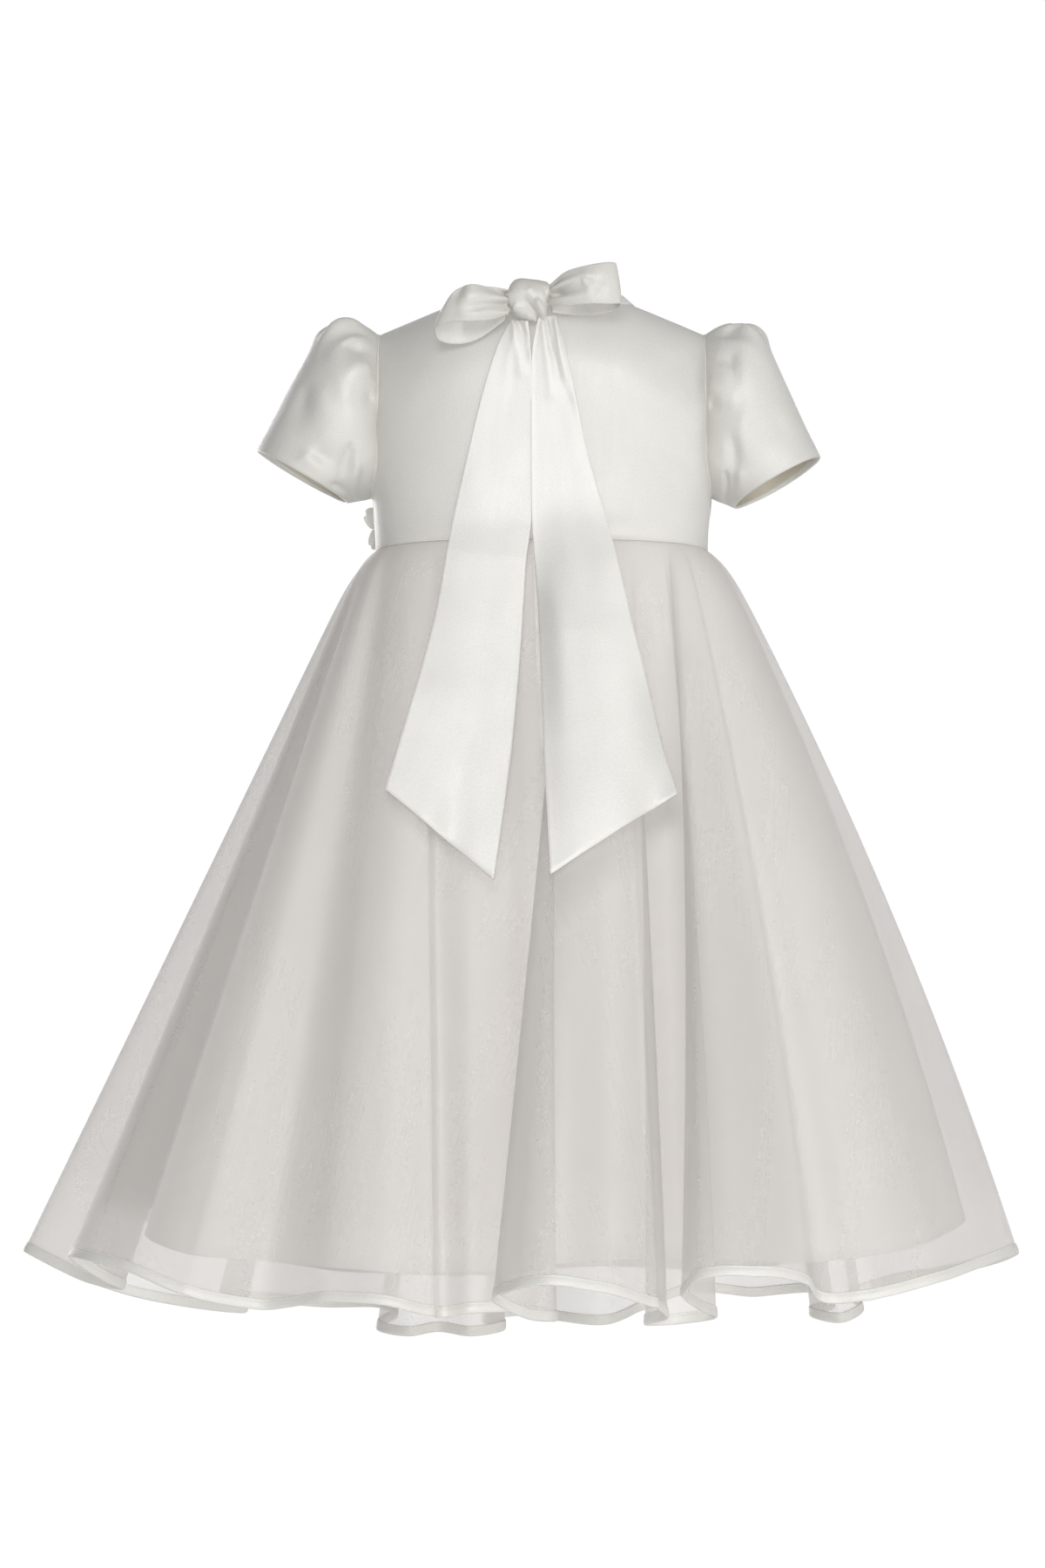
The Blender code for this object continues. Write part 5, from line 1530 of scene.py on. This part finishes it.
def set_camera():
    lens = bpy.data.cameras.new("camera")
    lens.lens = CAMERA_LENS
    lens.sensor_width = 36
    lens.clip_end = 60
    camera = bpy.data.objects.new("camera", lens)
    camera.location = CAMERA_PLACE
    camera.rotation_euler = (radians(CAMERA_TILT), 0, 0)
    bpy.context.scene.collection.objects.link(camera)
    bpy.context.scene.camera = camera


# Add-on

def colour_property(name, description, default):
    return bpy.props.FloatVectorProperty(name=name, description=description, subtype="COLOR",
                                         size=3, min=0, max=1, default=default)


def length_property(name, description, default):
    return bpy.props.FloatProperty(name=name, description=description, unit="LENGTH",
                                   min=0.00005, max=0.01, precision=5, default=default)


def share_property(name, description, default, least=0.0):
    return bpy.props.FloatProperty(name=name, description=description, subtype="FACTOR",
                                   min=least, max=1, default=default)


def power_property(name, description, default):
    return bpy.props.FloatProperty(name=name, description=description, unit="POWER", min=0,
                                   default=default)


class DressLooks(bpy.types.PropertyGroup):
    """Colours and finishes of the dress's cloths"""
    satin_colour: colour_property("Satin", "Colour of the bodice and sleeves", (0.71, 0.70, 0.667))
    # Painted shade: the knot and loops get a darker copy of the tails' ribbon colour
    bow_shaded_colour: colour_property("Bow", "Colour of the bow's knot and loops", (0.66, 0.65, 0.615))
    ribbon_colour: colour_property("Ribbon", "Colour of the bow's tails", (0.81, 0.80, 0.77))
    trim_colour: colour_property("Trim", "Colour of the neck band and the hem binding",
                                 (0.79, 0.78, 0.745))
    lining_colour: colour_property("Lining", "Colour of the skirt's lining", (0.68, 0.657, 0.638))
    # Painted light: lighter than the trim satin, for the strip that lies in shade in the slit
    placket_lit_colour: colour_property("Placket", "Colour of the strip behind the slit",
                                    (0.9, 0.87, 0.84))
    # Beige lining tone, made darker as painted shade inside the sleeves
    facing_colour: colour_property("Facing", "Colour of the sleeves' inner side",
                                   (0.56, 0.52, 0.43))
    organza_colour: colour_property("Organza", "Colour of the sheer overskirt",
                                    (0.70, 0.677, 0.655))
    organza_cover: share_property("Organza cover", "Share of the light that one face stops",
                                  0.33, least=0.05)
    satin_roughness: share_property("Satin roughness", "Softness of the satin's highlights",
                                    0.41, least=0.1)


class DressSizes(bpy.types.PropertyGroup):
    """Thickness of the cloths and size of the stitches"""
    satin_thickness: length_property("Satin", "Thickness of the doubled satin", 0.0008)
    organza_thickness: length_property("Organza", "Thickness of the organza", 0.0003)
    lining_thickness: length_property("Lining", "Thickness of the lining", 0.0004)
    stitch_pitch: length_property("Stitch pitch", "From one stitch to the next", 0.0029)
    stitch_length: length_property("Stitch length", "Length of the thread that shows", 0.0022)
    thread_radius: length_property("Thread", "Radius of the sewing thread", 0.00016)
    cord_radius: length_property("Seam cord", "Radius of the armhole seams' rolled edge", 0.0006)


class DressStage(bpy.types.PropertyGroup):
    """Light and floor of the studio"""
    backdrop: bpy.props.FloatProperty(
        name="Backdrop", description="Brightness of the white seen behind the dress", min=0,
        default=1.02)
    ambient: bpy.props.FloatProperty(
        name="Ambient", description="Soft light from all round", min=0, default=0.44)
    top_share: share_property("Top share", "Share of the ambient light from right above", 0.8)
    left_share: share_property("Left share", "Share of the ambient light from the left", 0.6)
    key_power: power_property("Key", "Power of the light beside the camera", 24.5)
    fill_power: power_property("Fill", "Power of the light that fills the folds", 42)
    side_power: power_property("Side", "Power of the light from the right side", 8)
    far_side_power: power_property("Far side", "Power of the light on the dress's front", 38)
    floor_drop: bpy.props.FloatProperty(
        name="Floor drop", description="From the hem down to the floor", unit="LENGTH", min=0,
        default=0.53)


class DRESS_OT_stage(bpy.types.Operator):
    """Set the camera, the soft lights, the white backdrop and the pale floor"""
    bl_idname = "dress.stage"
    bl_label = "Set the Stage"

    def execute(self, context):
        stage = context.scene.dress_stage
        set_camera()
        set_world(stage.backdrop, stage.ambient, stage.top_share, stage.left_share)
        add_light("key", stage.key_power)
        add_light("side", stage.side_power)
        add_light("far_side", stage.far_side_power)
        add_light("front_fill", stage.fill_power, shadow=False)
        make_floor(stage.floor_drop)
        return {"FINISHED"}


class DRESS_OT_bodice(bpy.types.Operator):
    """Sew the bodice's front and two backs"""
    bl_idname = "dress.bodice"
    bl_label = "Sew the Bodice"

    def execute(self, context):
        make_bodice(context.scene.dress_sizes, finish_for("satin"))
        return {"FINISHED"}


class DRESS_OT_neck_band(bpy.types.Operator):
    """Fold the satin band round the neck"""
    bl_idname = "dress.neck_band"
    bl_label = "Fold the Neck Band"

    def execute(self, context):
        make_neck_band(finish_for("trim"))
        return {"FINISHED"}


class DRESS_OT_sleeves(bpy.types.Operator):
    """Gather and set in both puff sleeves"""
    bl_idname = "dress.sleeves"
    bl_label = "Set In the Sleeves"

    def execute(self, context):
        make_sleeves(context.scene.dress_sizes, finish_for("satin"), finish_for("facing"))
        make_armhole_cords(context.scene.dress_sizes, finish_for("cord"))
        return {"FINISHED"}


class DRESS_OT_overskirt(bpy.types.Operator):
    """Hang the three panels of the organza overskirt"""
    bl_idname = "dress.overskirt"
    bl_label = "Hang the Overskirt"

    def execute(self, context):
        make_overskirt(context.scene.dress_sizes, finish_for("organza"))
        return {"FINISHED"}


class DRESS_OT_binding(bpy.types.Operator):
    """Bind the overskirt's hem with folded satin"""
    bl_idname = "dress.binding"
    bl_label = "Bind the Hem"

    def execute(self, context):
        make_binding(finish_for("trim"))
        return {"FINISHED"}


class DRESS_OT_lining(bpy.types.Operator):
    """Hang the lining's back and front"""
    bl_idname = "dress.lining"
    bl_label = "Hang the Lining"

    def execute(self, context):
        make_lining(context.scene.dress_sizes, finish_for("lining"))
        return {"FINISHED"}


class DRESS_OT_placket(bpy.types.Operator):
    """Back the slit below the waist with its satin placket"""
    bl_idname = "dress.placket"
    bl_label = "Back the Slit"

    def execute(self, context):
        # The placket's satin is lighter than the trim's, as painted light in the shaded slit
        make_placket(finish_for("placket"))
        return {"FINISHED"}


class DRESS_OT_bow(bpy.types.Operator):
    """Tie the bow: its knot, two loops and two long tails"""
    bl_idname = "dress.bow"
    bl_label = "Tie the Bow"

    def execute(self, context):
        # The knot and loops take the bow's finish, which is the ribbon with painted shade
        bow, ribbon, sizes = finish_for("bow"), finish_for("ribbon"), context.scene.dress_sizes
        make_knot(bow)
        for name, table in LOOPS.items():
            make_loop(name, table, sizes, bow)
        for name, table in TAILS.items():
            make_tail(name, table, sizes, ribbon)
        return {"FINISHED"}


class DRESS_OT_flower(bpy.types.Operator):
    """Fix the satin flower to the front of the waist"""
    bl_idname = "dress.flower"
    bl_label = "Fix the Flower"

    def execute(self, context):
        make_flower(finish_for("satin"), finish_for("trim"))
        return {"FINISHED"}


class DRESS_OT_stitches(bpy.types.Operator):
    """Stitch the hem binding and the lining's hem"""
    bl_idname = "dress.stitches"
    bl_label = "Sew the Stitches"

    def execute(self, context):
        make_stitches(context.scene.dress_sizes, finish_for("thread"))
        return {"FINISHED"}


STEPS = (DRESS_OT_stage, DRESS_OT_bodice, DRESS_OT_neck_band, DRESS_OT_sleeves, DRESS_OT_binding,
         DRESS_OT_stitches, DRESS_OT_overskirt, DRESS_OT_lining, DRESS_OT_placket, DRESS_OT_bow,
         DRESS_OT_flower)
GROUPS = {"dress_looks": DressLooks, "dress_sizes": DressSizes, "dress_stage": DressStage}


class DRESS_PT_sidebar(bpy.types.Panel):
    """Sizes and colours of the dress, and the steps that make it"""
    bl_idname = "DRESS_PT_sidebar"
    bl_label = "Flower Girl Dress"
    bl_space_type = "VIEW_3D"
    bl_region_type = "UI"
    bl_category = "Dress"

    def draw(self, context):
        for group in GROUPS:
            settings = getattr(context.scene, group)
            box = self.layout.box()
            for name in settings.bl_rna.properties.keys():
                if name not in ("rna_type", "name"):
                    box.prop(settings, name)
        for step in STEPS:
            self.layout.operator(step.bl_idname)


def register():
    for kind in (*GROUPS.values(), *STEPS, DRESS_PT_sidebar):
        bpy.utils.register_class(kind)
    for name, kind in GROUPS.items():
        setattr(bpy.types.Scene, name, bpy.props.PointerProperty(type=kind))


def unregister():
    for name in GROUPS:
        delattr(bpy.types.Scene, name)
    for kind in reversed((*GROUPS.values(), *STEPS, DRESS_PT_sidebar)):
        bpy.utils.unregister_class(kind)


def main():
    register()
    bpy.context.scene.view_settings.view_transform = "Standard"
    for step in STEPS:
        group, action = step.bl_idname.split(".")
        getattr(getattr(bpy.ops, group), action)()


if __name__ == "__main__":
    main()
